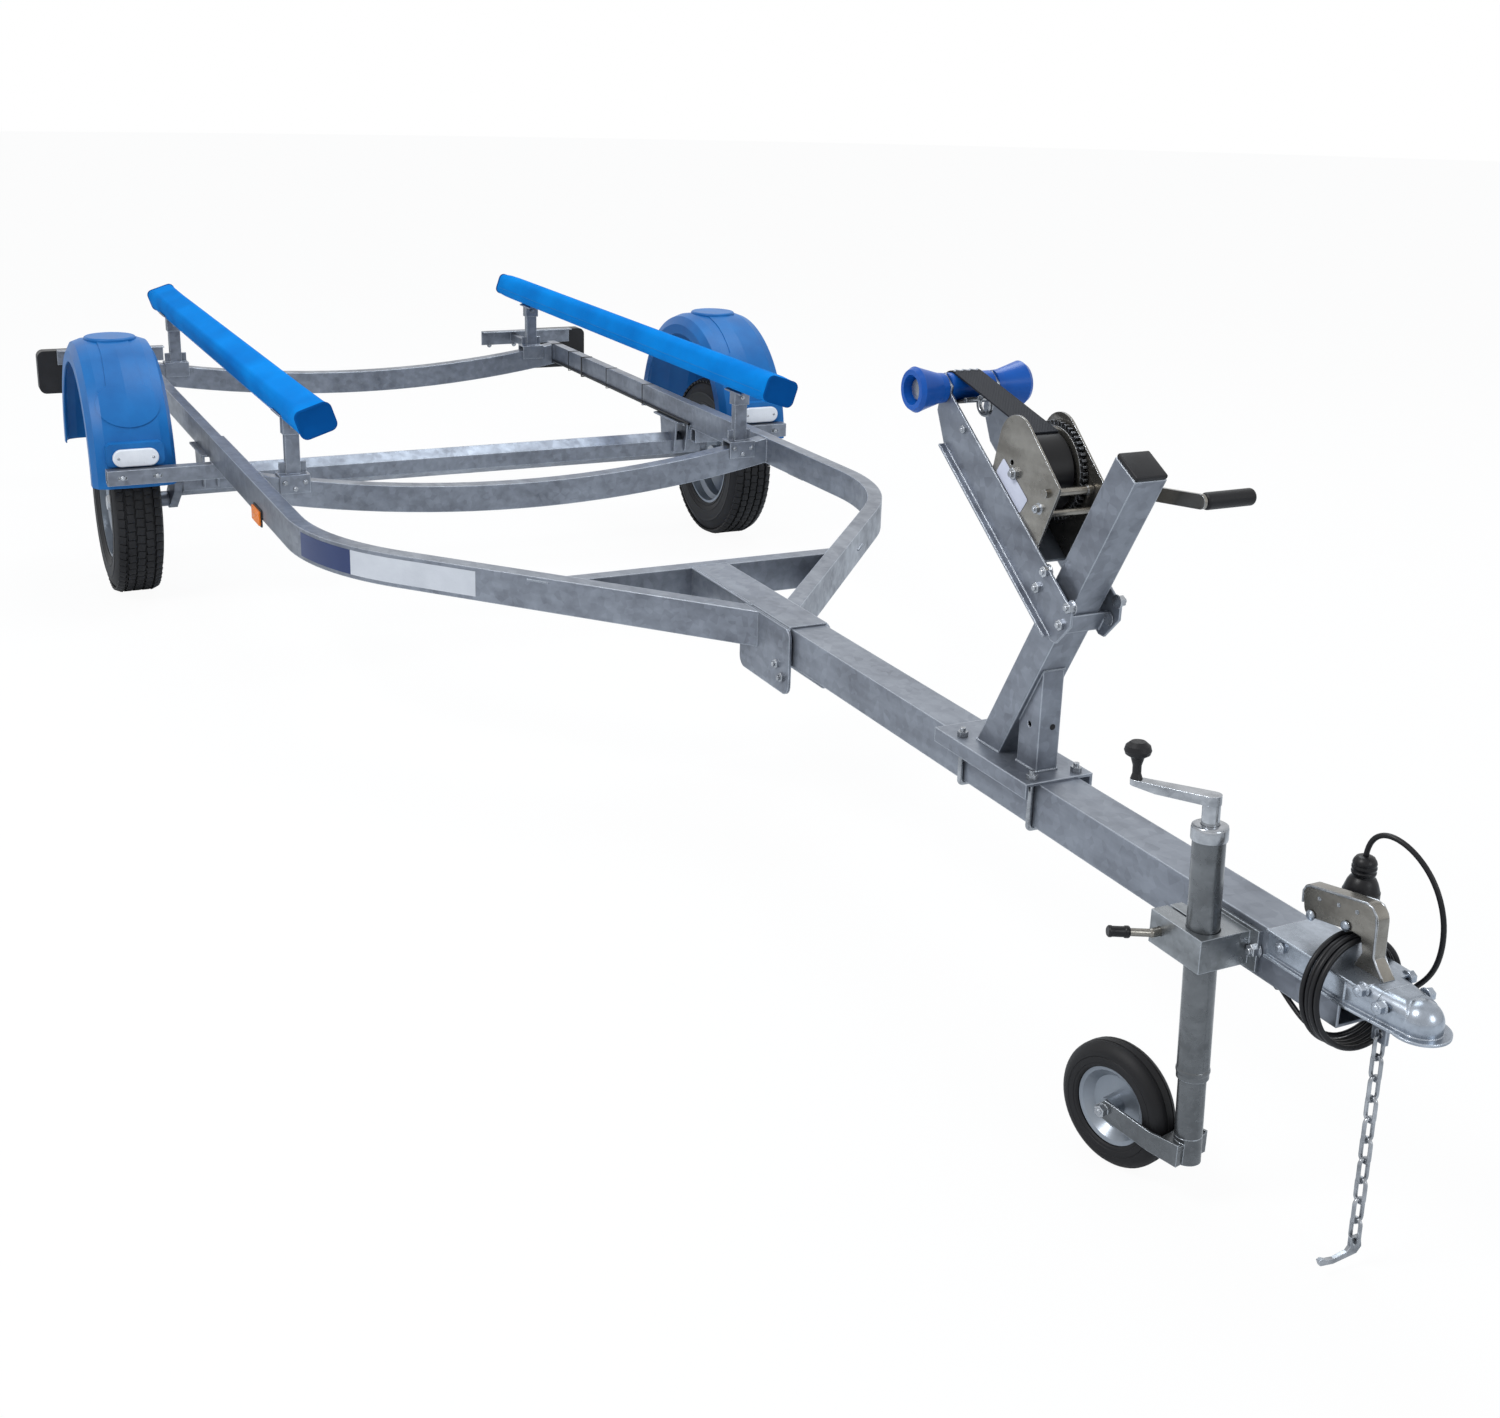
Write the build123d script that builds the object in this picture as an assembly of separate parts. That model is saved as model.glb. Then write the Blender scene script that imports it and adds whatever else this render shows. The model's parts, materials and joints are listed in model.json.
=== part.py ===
from build123d import *
import math
import os

# Boat trailer for one small hull: two bent frame rails that telescope at the rear, a square drawbar in a
# clamp socket, a rubber torsion axle with two 13 inch wheels, padded bunks, a strap winch on a leaning
# post, a jockey wheel and a ball coupling.
# The pieces are drawn square to the drawbar: X forwards from the wheels' axis, Y to the left, Z up, with
# Z 0 under the tyres. PARKED then tips them all together, nose down on the jockey wheel.

NOSE_DOWN = 1.149          # degrees the parked trailer leans forwards
SEAT = 0.3                 # gap between pieces that seat on each other
FAR = 2000.0               # beyond every piece, for the boxes that cut them
SLIDE = 0.5                # gap each side of a tube that slides in a tube
RUN = 0.05                 # radial gap of a turning fit
SIDE_GAP = 1.5             # side gap of a roller or wheel beside its cheek

# Frame rails and cross members
RAIL_H = 80.0
RAIL_W = 40.0
RAIL_WALL = 3.0
RAIL_TOP = 536.0
RAIL_Y = 797.0
RAIL_REAR = 308.0
RAIL_CORNER_X = 1577.0
RAIL_BEND_R = 650.0
RAIL_LEG_ANGLE = 40.4
REAR_RAIL_END = -1140.0
REAR_RAIL_OVERLAP = 240.0
CROSS_FRONT_X = 870.0
CROSS_FRONT_BOW = 80.0
CROSS_FRONT_H = 76.0
CROSS_DEPTH = 50.0
CROSS_WALL = 3.0
CROSS_REAR_X = -1055.0
CROSS_REAR_BOW = 71.0
CROSS_REAR_H = 78.0
BRACE_X = 2120.0
BRACE_W = 40.0

# Drawbar and its clamp socket
BAR = 80.0
BAR_WALL = 4.0
BAR_REAR = 2160.0
BAR_FRONT = 4240.0
SOCKET_WALL = 4.0
SOCKET_FRONT = 2620.0
CHEEK_T = 6.0
CHEEK_LENGTH = 236.0
CHEEK_LEAD = 12.0          # the cheeks stand this far ahead of the socket
CHEEK_FOOT = 389.0
CHEEK_CORNER = 24.0

# Wheels, tyres and axle
WHEEL_R = 281.0
TYRE_W = 145.0
WHEEL_Y = 1031.5
RIM_W = 120.0
BEAD_R = 165.0
FLANGE_R = 179.0
RIM_T = 3.5
RIM_OFFSET = 30.0
HUB_R = 38.0
HUB_FLANGE_R = 62.0
HUB_FLANGE_T = 10.0
HUB_BORE_R = 15.0
HUB_LENGTH = 68.0
CAP_R = 27.0
VENTS = 8
AXLE_X = 110.0
AXLE_Z = 360.0
AXLE_FLATS = 80.0
AXLE_END = 880.0
AXLE_WALL = 5.0
ARM_T = 26.0
BRACKET_HALF = 105.0
BRACKET_TOP_HALF = 70.0
BRACKET_FOOT_HALF = 52.0

# Mudguards
GUARD_X = -100.0
GUARD_Z = 392.0
GUARD_R = 393.0
GUARD_Y = 1034.0
GUARD_W = 245.0
GUARD_T = 4.0
GUARD_LIP_R = 318.0
GUARD_TUBE = 45.0
GUARD_TUBE_D = 40.0
GUARD_TUBE_END = 1122.0
GUARD_TUBE_WALL = 3.0
BOSS_R = 78.0
EMBOSS = 3.0               # height of the oval and the band moulded on the mudguard's front
OVAL_Y = 92.0
OVAL_H = 62.0
OVAL_Z = 238.0
BAND_TOP = 46.0
BAND_FOOT = 58.0
MARKER_W = 132.0
MARKER_H = 52.0
MARKER_Z = 487.0

# Lamps on telescoping arms
LAMP_ARM = 30.0
LAMP_ARM_WALL = 2.5
LAMP_ARM_IN = 160.0
LAMP_X = -1610.0
LAMP_BOARD_IN = 655.0
LAMP_BOARD_OUT = 1050.0
LAMP_BOARD_H = 60.0
LAMP_BOARD_T = 4.0
LAMP_Y = 995.0
LAMP_W = 255.0
LAMP_H = 165.0
LAMP_D = 55.0
LAMP_Z = 420.0
LENS_D = 22.0

# Bunks
BUNK_Y = 684.0
BUNK_Z = 735.0
BUNK_W = 101.0
BUNK_H = 79.0
BUNK_TILT = 18.4
BUNK_REAR = -1320.0
BUNK_FRONT = 1130.0
BUNK_ROUND = 20.0
POST_Y = 690.0
POST_W = 40.0
POST_D = 26.0
FOOT_W = 84.0
FOOT_T = 5.0
HEAD_T = 5.0

# Winch post on its saddle
SADDLE_REAR = 3240.0
SADDLE_FRONT = 3530.0
SADDLE_W = 136.0
SADDLE_T = 5.0
SADDLE_LIP = 22.0
U_BOLT_R = 5.0
LEAN_TUBE = 60.0
LEAN_ANGLE = 29.0
LEAN_FOOT_X = 3352.0
LEAN_TOP_Z = 1108.0
LEAN_WALL = 3.0
PROP_REAR = 3432.0
PROP_D = 58.0
PROP_W = 42.0
PROP_WALL = 3.0

# Winch bracket, winch and bow roller
CHEEK_Y = 46.0
PLATE_T = 4.0
TRAY_REAR = 150.0          # the winch's tray, along the bracket from its upper rear corner
TRAY_FRONT = 356.0
CROWN_R = 50.0             # the round upper rear corner of the winch's side plates
CROWN_RISE = 135.0
NOSE_RISE = 114.0
CLAMP_ALONG = 470.0
ROLLER_X = 3172.0
ROLLER_Z = 1148.0
ROLLER_HALF = 115.0
ROLLER_END_R = 40.0
ROLLER_WAIST_R = 26.0
PIN_R = 10.0
WINCH_X = 3402.0
WINCH_Z = 1045.0
SPOOL_R = 70.0
STRAP_W = 56.0
STRAP_T = 3.0
SPOOL_Y = -6.0
GEAR_R = 84.0
GEAR_TEETH = 48
GEAR_TOOTH = 4.5
GEAR_Y = 35.0
GEAR_T = 8.0
CRANK_X = 3495.0
CRANK_Z = 1032.0
CRANK_Y = 88.0
CRANK_ARM = 214.0
CRANK_RISE = 6.7

# Jockey wheel
JACK_X = 4032.0
JACK_Y = -104.0
JACK_LEAN = -3.0
JACK_R = 24.0
JACK_WALL = 3.0
JACK_FOOT = 286.0
JACK_TOP = 664.0
JACK_HEAD_R = 13.0
JACK_REACH = (-99.0, -56.0)
KNOB_R = 20.0
KNOB_TALL = 56.0
KNOB_PIN_R = 3.5
STEM_FOOT = 150.0
FORK_TOP = 192.0
SPIGOT = 16.0
CLAMP_EAR = 78.0
CLAMP_H = 52.0
SCREW_X = -56.0
SCREW_R = 7.0
JOCKEY_R = 100.0
JOCKEY_W = 50.0
JOCKEY_TRAIL = 132.0
JOCKEY_SWIVEL = 13.0         # degrees the trailing wheel stands to the right
JOCKEY_AXLE_R = 7.0

# Coupling head
BALL_X = 4345.0
BALL_Z = 514.0
BALL_R = 25.0
SHELL_T = 4.0
SHELL_LENGTH = 246.0       # from the shell's rear end to the ball
SHELL_FOOT = 498.0
LEDGE = 9.0
NECK_ROUND = 14.0          # round along the top edges of the neck, inside
CUP_REAR = 45.0            # the cast ball cup is welded on this far behind the ball
HANDLE_HALF = 10.0
HANDLE_WALL = 3.0
HANDLE_RIVETS = [(4141, 574), (4206, 588)]

# Electric lead, its plug and its coil, and the safety chain
LEAD_R = 4.0
COIL_X = 4222.0
COIL_Y = 0.0
COIL_Z = 497.0
COIL_R = 78.0
COIL_TURNS = 4
COIL_LEAN = 6.0
LINK_PITCH = 32.0
LINK_WIRE = 3.0
LINK_W = 22.0
LINKS = 10
CHAIN_Y = 13.0
EYE_AHEAD = 30.0
EYE_T = 6.0
EYE_HOLE = 6.5

CHEEK_FRONT = SOCKET_FRONT + CHEEK_LEAD
CHEEK_REAR = CHEEK_FRONT - CHEEK_LENGTH
SHELL_REAR = BALL_X - SHELL_LENGTH
RAIL_BOTTOM = RAIL_TOP - RAIL_H
RAIL_MID = RAIL_TOP - RAIL_H / 2
BAR_TOP = RAIL_MID + BAR / 2
BAR_BOTTOM = RAIL_MID - BAR / 2
SOCKET = BAR + 2 * (SLIDE + SOCKET_WALL)
CHEEK_OUT = SOCKET / 2 + CHEEK_T
CENTRE_X = -(BALL_X + BALL_R + SHELL_T + LAMP_X - LAMP_D - LENS_D) / 2
GUARD_TUBE_X = GUARD_X + GUARD_R + SEAT + GUARD_TUBE_D / 2
PARKED = Pos(CENTRE_X, 0, WHEEL_R) * Rot(0, NOSE_DOWN, 0) * Pos(0, 0, -WHEEL_R)


def box(x0, x1, y0, y1, z0, z1):
    return Pos((x0 + x1) / 2, (y0 + y1) / 2, (z0 + z1) / 2) * Box(x1 - x0, y1 - y0, z1 - z0)


def tube_x(x0, x1, y, z, w, h, wall):
    """A rectangular tube along X, open at both ends."""
    outer = box(x0, x1, y - w / 2, y + w / 2, z - h / 2, z + h / 2)
    w -= 2 * wall
    h -= 2 * wall
    return outer - box(x0 - 1, x1 + 1, y - w / 2, y + w / 2, z - h / 2, z + h / 2)


def rod(a, b, r):
    """A round bar from point a to point b."""
    a = Vector(*a)
    b = Vector(*b)
    axis = Plane(origin=a, z_dir=b - a)
    return extrude(axis * Circle(r), (b - a).length)


def across(x, z, y0, y1, r):
    return rod((x, y0, z), (x, y1, z), r)


def plate_xz(points, y0, y1, corner=0.0):
    """A flat plate with its outline in the XZ plane, between y0 and y1."""
    outline = make_face(Polyline(*points, close=True))
    if corner:
        outline = fillet(outline.vertices(), corner)
    return Pos(0, y0, 0) * extrude(Plane.XZ * outline, -(y1 - y0))


def turned(points, y=0.0):
    """A piece turned about the Y axis from a closed outline of (radius, y) points."""
    return Pos(0, y, 0) * revolve(Plane.XY * make_face(Polyline(*points, close=True)), Axis.Y)


def both(solid):
    """The left piece and its mirror image on the right."""
    return [solid, mirror(solid, Plane.XZ)]


def save(node, *solids):
    kept = []
    for solid in solids:
        kept.extend((PARKED * solid).solids())
    export_step(Compound(children=kept), f"parts/{node}.step")


os.makedirs("parts", exist_ok=True)

# Front rails: a rectangular tube, straight along the hull and bent once towards the drawbar. The leg is
# cut off along the clamp socket's cheek.


def bent_rail(half, z0, z1):
    turn = math.radians(RAIL_LEG_ANGLE)
    shift = half * math.tan(turn / 2)
    reach = 1300.0
    leg = (reach * math.cos(turn), -reach * math.sin(turn))
    out_corner = (RAIL_CORNER_X + shift, RAIL_Y + half)
    in_corner = (RAIL_CORNER_X - shift, RAIL_Y - half)
    out_end = (out_corner[0] + leg[0], out_corner[1] + leg[1])
    in_end = (in_corner[0] + leg[0], in_corner[1] + leg[1])
    out_side = FilletPolyline((RAIL_REAR, RAIL_Y + half), out_corner, out_end, radius=RAIL_BEND_R + half)
    in_side = FilletPolyline((RAIL_REAR, RAIL_Y - half), in_corner, in_end, radius=RAIL_BEND_R - half)
    rear = Line((RAIL_REAR, RAIL_Y + half), (RAIL_REAR, RAIL_Y - half))
    front = Line(out_end, in_end)
    face = make_face(out_side.edges() + in_side.edges() + rear.edges() + front.edges())
    return Pos(0, 0, z0) * extrude(face, z1 - z0)


rail_envelope = bent_rail(RAIL_W / 2, RAIL_BOTTOM, RAIL_TOP)
socket_space = box(RAIL_REAR, RAIL_REAR + 2 * FAR, -FAR, CHEEK_OUT, 0, FAR)
rail = rail_envelope - bent_rail(RAIL_W / 2 - RAIL_WALL, RAIL_BOTTOM + RAIL_WALL, RAIL_TOP - RAIL_WALL)
rail = rail - socket_space
save("rail_left", rail)
save("rail_right", mirror(rail, Plane.XZ))

# Rear rails: smaller tubes that slide in the front ones to set the trailer's length.
REAR_W = RAIL_W - 2 * (RAIL_WALL + SLIDE)
REAR_H = RAIL_H - 2 * (RAIL_WALL + SLIDE)
rear_rail = tube_x(REAR_RAIL_END, RAIL_REAR + REAR_RAIL_OVERLAP, RAIL_Y, RAIL_MID, REAR_W, REAR_H, RAIL_WALL)
save("rear_rails", *both(rear_rail))

# Cross members: tubes bowed downwards to clear the keel, welded between the rails.


def bowed(x_front, half, top, bow, height, inset):
    upper = ThreePointArc((-half, top - inset), (0, top - bow - inset), (half, top - inset))
    lower = ThreePointArc((-half, top - height + inset), (0, top - bow - height + inset),
                          (half, top - height + inset))
    ends = [Line((s * half, top - inset), (s * half, top - height + inset)) for s in (-1, 1)]
    face = make_face(upper.edges() + lower.edges() + ends[0].edges() + ends[1].edges())
    return Pos(x_front - inset, 0, 0) * extrude(Plane.YZ * face, -(CROSS_DEPTH - 2 * inset))


cross_half = RAIL_Y - RAIL_W / 2
cross = bowed(CROSS_FRONT_X, cross_half, RAIL_TOP, CROSS_FRONT_BOW, CROSS_FRONT_H, 0)
cross = cross - bowed(CROSS_FRONT_X, cross_half, RAIL_TOP, CROSS_FRONT_BOW, CROSS_FRONT_H, CROSS_WALL)
save("cross_front", cross)
rear_half = RAIL_Y - REAR_W / 2
REAR_TOP = RAIL_MID + REAR_H / 2
cross = bowed(CROSS_REAR_X, rear_half, REAR_TOP, CROSS_REAR_BOW, CROSS_REAR_H, 0)
cross = cross - bowed(CROSS_REAR_X, rear_half, REAR_TOP, CROSS_REAR_BOW, CROSS_REAR_H, CROSS_WALL)
save("cross_rear", cross)

# Brace between the two legs, behind the clamp socket.
brace = box(BRACE_X - BRACE_W, BRACE_X, -450, 450, RAIL_BOTTOM, RAIL_TOP)
brace = brace - box(BRACE_X - BRACE_W + RAIL_WALL, BRACE_X - RAIL_WALL, -450, 450,
                    RAIL_BOTTOM + RAIL_WALL, RAIL_TOP - RAIL_WALL)
leg_side = box(BRACE_X - 2 * BRACE_W, BRACE_X + BRACE_W, 0, 900, RAIL_BOTTOM, RAIL_TOP) - rail_envelope
brace_left = brace & leg_side.solids().sort_by(Axis.Y)[0]
save("cross_brace", brace_left + mirror(brace_left, Plane.XZ))

# Clamp socket: a sleeve on the drawbar with two cheeks that carry the rails' ends and the clamp bolts.
sleeve = tube_x(BRACE_X, SOCKET_FRONT, 0, RAIL_MID, SOCKET, SOCKET, SOCKET_WALL)
cheek_points = [(CHEEK_REAR, CHEEK_FOOT), (CHEEK_FRONT, CHEEK_FOOT), (CHEEK_FRONT, RAIL_TOP),
                (CHEEK_REAR, RAIL_TOP)]
cheek = plate_xz(cheek_points, SOCKET / 2, CHEEK_OUT, CHEEK_CORNER)
bolt_rows = [(2579, 448), (2604, 425)]
for x, z in bolt_rows:
    cheek = cheek - across(x, z, 0, 100, 6.5)
save("clamp_socket", sleeve + cheek + mirror(cheek, Plane.XZ))

# Drawbar, with the safety chain's eye welded in its front end.
EYE_X = BAR_FRONT + EYE_AHEAD
EYE_Z = BAR_BOTTOM - 4
bar_floor = BAR_BOTTOM + BAR_WALL
eye_points = [(BAR_FRONT - 60, bar_floor), (BAR_FRONT - 60, bar_floor + 22), (EYE_X + 13, bar_floor + 22),
              (EYE_X + 13, EYE_Z - 13), (EYE_X - 13, EYE_Z - 13), (EYE_X - 13, bar_floor)]
eye = plate_xz(eye_points, CHAIN_Y - EYE_T / 2, CHAIN_Y + EYE_T / 2)
eye = eye - across(EYE_X, EYE_Z, CHAIN_Y - EYE_T, CHAIN_Y + EYE_T, EYE_HOLE)
save("drawbar", tube_x(BAR_REAR, BAR_FRONT, 0, RAIL_MID, BAR, BAR, BAR_WALL) + eye)

# Axle: a six-sided tube under the rails, on two brackets, with a trailing arm and stub at each end.
hexagon = RegularPolygon(AXLE_FLATS / 2, 6, major_radius=False)
hexagon_in = RegularPolygon(AXLE_FLATS / 2 - AXLE_WALL, 6, major_radius=False)
axle_plane = Plane(origin=(AXLE_X, -AXLE_END, AXLE_Z), x_dir=(0, 0, 1), z_dir=(0, 1, 0))
beam = extrude(axle_plane * hexagon, 2 * AXLE_END) - extrude(axle_plane * hexagon_in, 2 * AXLE_END)
save("axle_beam", beam)
beam_envelope = extrude(axle_plane * hexagon, 2 * AXLE_END)
seat_z = RAIL_MID - REAR_H / 2
bracket = box(AXLE_X - BRACKET_HALF, AXLE_X + BRACKET_HALF, RAIL_Y - 34, RAIL_Y + 34, seat_z - 6, seat_z)
bracket_side = [(AXLE_X - BRACKET_TOP_HALF, seat_z - 6), (AXLE_X + BRACKET_TOP_HALF, seat_z - 6),
                (AXLE_X + BRACKET_FOOT_HALF, AXLE_Z - 14), (AXLE_X - BRACKET_FOOT_HALF, AXLE_Z - 14)]
for y in (-24, 18):
    bracket = bracket + plate_xz(bracket_side, RAIL_Y + y, RAIL_Y + y + 6)
bracket = bracket - beam_envelope
save("axle_brackets", *both(bracket))
arm_in = AXLE_END
arm_out = AXLE_END + ARM_T
arm = across(AXLE_X, AXLE_Z, arm_in, arm_out, 38) + across(0, WHEEL_R, arm_in, arm_out, 30)
arm_web = [(AXLE_X - 14, AXLE_Z + 36), (AXLE_X + 22, AXLE_Z - 31), (10, WHEEL_R - 28), (-14, WHEEL_R + 27)]
arm = arm + plate_xz(arm_web, arm_in, arm_out)
arm = arm + across(0, WHEEL_R, arm_out, WHEEL_Y - 48, 24)
stub_end = WHEEL_Y + RIM_OFFSET + 12
arm = arm + across(0, WHEEL_R, arm_out, stub_end, HUB_BORE_R)
save("axle_arms", *both(arm))

# Wheels: hub on its stub, pressed steel rim with a vented disc, and a radial tyre.
disc_y = RIM_OFFSET
hub_in = disc_y - HUB_LENGTH
hub_points = [(HUB_BORE_R + RUN, hub_in), (HUB_R, hub_in), (HUB_R, disc_y - HUB_FLANGE_T),
              (HUB_FLANGE_R, disc_y - HUB_FLANGE_T), (HUB_FLANGE_R, disc_y), (CAP_R, disc_y),
              (CAP_R, disc_y + 22), (CAP_R - 6, disc_y + 30), (0, disc_y + 30), (0, disc_y + 26),
              (CAP_R - 5, disc_y + 20), (CAP_R - 5, disc_y), (HUB_BORE_R + RUN, disc_y)]
hub = turned(hub_points)
h = RIM_W / 2
well_r = BEAD_R - 16
outer = [(FLANGE_R, -h), (FLANGE_R, -h + RIM_T), (BEAD_R + 1, -h + RIM_T), (BEAD_R, -h + 32),
         (well_r, -h + 42), (well_r, h - 52), (BEAD_R, h - 32), (BEAD_R + 1, h - RIM_T),
         (FLANGE_R, h - RIM_T), (FLANGE_R, h)]
inner = [(BEAD_R - 5, h), (BEAD_R - RIM_T, h - 30), (well_r - RIM_T, h - 50), (well_r - RIM_T, -h + 40),
         (BEAD_R - RIM_T, -h + 30), (BEAD_R - 5, -h)]
rim = turned(outer + inner)
disc_points = [(CAP_R + 3, disc_y), (70, disc_y), (92, disc_y + 14), (118, disc_y + 10),
               (well_r - 1, disc_y - 22), (well_r - 1, disc_y - 14), (120, disc_y + 15),
               (92, disc_y + 19), (68, disc_y + 5), (CAP_R + 3, disc_y + 5)]
disc = turned(disc_points)
for i in range(VENTS):
    disc = disc - Rot(0, 360 / VENTS * i, 0) * across(112, 0, disc_y - 40, disc_y + 40, 11)
for i in range(4):
    disc = disc - Rot(0, 90 * i + 45, 0) * across(50, 0, disc_y - 40, disc_y + 40, 6.5)
rim = rim + disc
t = TYRE_W / 2
bead_y = h - RIM_T - SEAT
rubber = [Line((bead_y, BEAD_R + 2), (bead_y, FLANGE_R + 1)),
          ThreePointArc((bead_y, FLANGE_R + 1), (t, BEAD_R + 58), (t - 11, WHEEL_R - 12)),
          ThreePointArc((t - 11, WHEEL_R - 12), (t - 15, WHEEL_R - 6), (t - 22, WHEEL_R - 3)),
          ThreePointArc((t - 22, WHEEL_R - 3), (0, WHEEL_R), (-t + 22, WHEEL_R - 3)),
          ThreePointArc((-t + 22, WHEEL_R - 3), (-t + 15, WHEEL_R - 6), (-t + 11, WHEEL_R - 12)),
          ThreePointArc((-t + 11, WHEEL_R - 12), (-t, BEAD_R + 58), (-bead_y, FLANGE_R + 1)),
          Line((-bead_y, FLANGE_R + 1), (-bead_y, BEAD_R + 2)),
          Line((-bead_y, BEAD_R + 2), (-bead_y + 12, BEAD_R + 2)),
          ThreePointArc((-bead_y + 12, BEAD_R + 2), (-t + 10, BEAD_R + 56), (-t + 24, WHEEL_R - 18)),
          Line((-t + 24, WHEEL_R - 18), (t - 24, WHEEL_R - 18)),
          ThreePointArc((t - 24, WHEEL_R - 18), (t - 10, BEAD_R + 56), (bead_y - 12, BEAD_R + 2)),
          Line((bead_y - 12, BEAD_R + 2), (bead_y, BEAD_R + 2))]
section = make_face([e for piece in rubber for e in piece.edges()])
tyre = revolve(Plane(origin=(0, 0, 0), x_dir=(0, 1, 0), z_dir=(1, 0, 0)) * section, Axis.Y)
for side, flip in (("left", False), ("right", True)):
    for node, piece in (("hub", hub), ("rim", rim), ("tyre", tyre)):
        placed = Pos(0, WHEEL_Y, WHEEL_R) * piece
        save(f"{node}_{side}", mirror(placed, Plane.XZ) if flip else placed)

# Mudguards: moulded half rings with a crowned top, rolled shoulders and side lips, a round boss on top
# and a raised pad for the marker lamp.
g = GUARD_W / 2
guard_outline = [(GUARD_LIP_R, -g), (GUARD_R - 42, -g), (GUARD_R - 14, -g + 14), (GUARD_R - 4, -g + 42),
                 (GUARD_R, 0), (GUARD_R - 4, g - 42), (GUARD_R - 14, g - 14), (GUARD_R - 42, g),
                 (GUARD_LIP_R, g), (GUARD_LIP_R, g - GUARD_T), (GUARD_R - 44, g - GUARD_T),
                 (GUARD_R - 18, g - 17), (GUARD_R - 4 - GUARD_T, g - 44), (GUARD_R - GUARD_T, 0),
                 (GUARD_R - 4 - GUARD_T, -g + 44), (GUARD_R - 18, -g + 17), (GUARD_R - 44, -g + GUARD_T),
                 (GUARD_LIP_R, -g + GUARD_T)]
guard = Rot(0, 180, 0) * revolve(make_face(Polyline(*guard_outline, close=True)), Axis.Y, 180)
boss = Cylinder(BOSS_R, 26, align=(Align.CENTER, Align.CENTER, Align.MAX))
boss = fillet(boss.edges().group_by(Axis.Z)[-1], 8)
boss = Pos(0, 0, GUARD_R + 4) * boss
boss = boss - across(0, 0, -g, g, GUARD_R - 12)
guard = guard + boss
pad_high = MARKER_Z - GUARD_Z
pad_face = Pos(0, pad_high + 8) * RectangleRounded(MARKER_W + 34, MARKER_H + 16, 16)
pad = extrude(Plane.YZ * pad_face, GUARD_R + 6) - across(0, 0, -g, g, GUARD_R - 14)
guard = guard + pad
skin_outline = [(r + EMBOSS, y) for r, y in guard_outline]
skin = Rot(0, 180, 0) * revolve(make_face(Polyline(*skin_outline, close=True)), Axis.Y, 180)
oval = extrude(Plane.YZ.offset(60) * Pos(0, OVAL_Z) * Ellipse(OVAL_Y, OVAL_H), 400)
band_face = make_face(Polyline((-BAND_TOP, GUARD_R + 20), (BAND_TOP, GUARD_R + 20), (BAND_TOP, GUARD_R - 24),
                               (BAND_FOOT, OVAL_Z), (-BAND_FOOT, OVAL_Z), (-BAND_TOP, GUARD_R - 24),
                               close=True))
band = extrude(Plane.YZ * band_face, 400)
guard = guard + (skin & (oval + band))
guard = Pos(GUARD_X, GUARD_Y, GUARD_Z) * guard
save("mudguard_left", guard)
save("mudguard_right", mirror(guard, Plane.XZ))

# Marker lamps: white on the front of each mudguard.
marker = extrude(Plane.YZ * SlotOverall(MARKER_W, MARKER_H), 12)
marker = fillet(marker.edges().group_by(Axis.X)[-1], 4)
marker_x = GUARD_X + GUARD_R + 6
save("marker_lamps", *both(Pos(marker_x + SEAT, GUARD_Y, MARKER_Z) * marker))

# Mudguard carriers: square tubes welded under the rails, with two slots for the mudguard's bolts.
carrier = box(GUARD_TUBE_X - GUARD_TUBE_D / 2, GUARD_TUBE_X + GUARD_TUBE_D / 2, RAIL_Y - RAIL_W / 2,
              GUARD_TUBE_END, RAIL_BOTTOM - GUARD_TUBE, RAIL_BOTTOM)
carrier = carrier - box(GUARD_TUBE_X - GUARD_TUBE_D / 2 + GUARD_TUBE_WALL,
                        GUARD_TUBE_X + GUARD_TUBE_D / 2 - GUARD_TUBE_WALL, RAIL_Y - RAIL_W / 2 - 1,
                        GUARD_TUBE_END + 1, RAIL_BOTTOM - GUARD_TUBE + GUARD_TUBE_WALL,
                        RAIL_BOTTOM - GUARD_TUBE_WALL)
for y in (GUARD_Y - 55, GUARD_Y + 45):
    slot = extrude(Plane.YZ * SlotOverall(26, 9), 100)
    carrier = carrier - Pos(GUARD_TUBE_X - 50, y, RAIL_BOTTOM - GUARD_TUBE / 2) * slot
carrier = carrier - (Pos(GUARD_X, GUARD_Y, GUARD_Z) * across(0, 0, -200, 200, GUARD_R + SEAT))
save("mudguard_carriers", *both(carrier))

# Lamp arms telescope out of the rear rails and carry an upright board for each lamp.
arm_z = RAIL_MID - (REAR_H / 2 - RAIL_WALL - LAMP_ARM / 2 - SLIDE)
arm_w = REAR_W - 2 * (RAIL_WALL + SLIDE)
lamp_arm = tube_x(LAMP_X + LAMP_BOARD_T + SEAT, REAR_RAIL_END + LAMP_ARM_IN, RAIL_Y, arm_z, arm_w, LAMP_ARM,
                  LAMP_ARM_WALL)
board = box(LAMP_X, LAMP_X + LAMP_BOARD_T + SEAT, LAMP_BOARD_IN, LAMP_BOARD_OUT, arm_z - LAMP_BOARD_H / 2,
            arm_z + LAMP_BOARD_H / 2)
fold = box(LAMP_X + LAMP_BOARD_T, LAMP_X + 40, LAMP_BOARD_IN, LAMP_BOARD_OUT,
           arm_z + LAMP_BOARD_H / 2 - LAMP_BOARD_T, arm_z + LAMP_BOARD_H / 2)
save("lamp_arms", *both(lamp_arm + board + fold))
housing_face = Pos(LAMP_Y, LAMP_Z) * RectangleRounded(LAMP_W, LAMP_H, 26)
housing = Pos(LAMP_X - SEAT, 0, 0) * extrude(Plane.YZ * housing_face, -LAMP_D)
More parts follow.
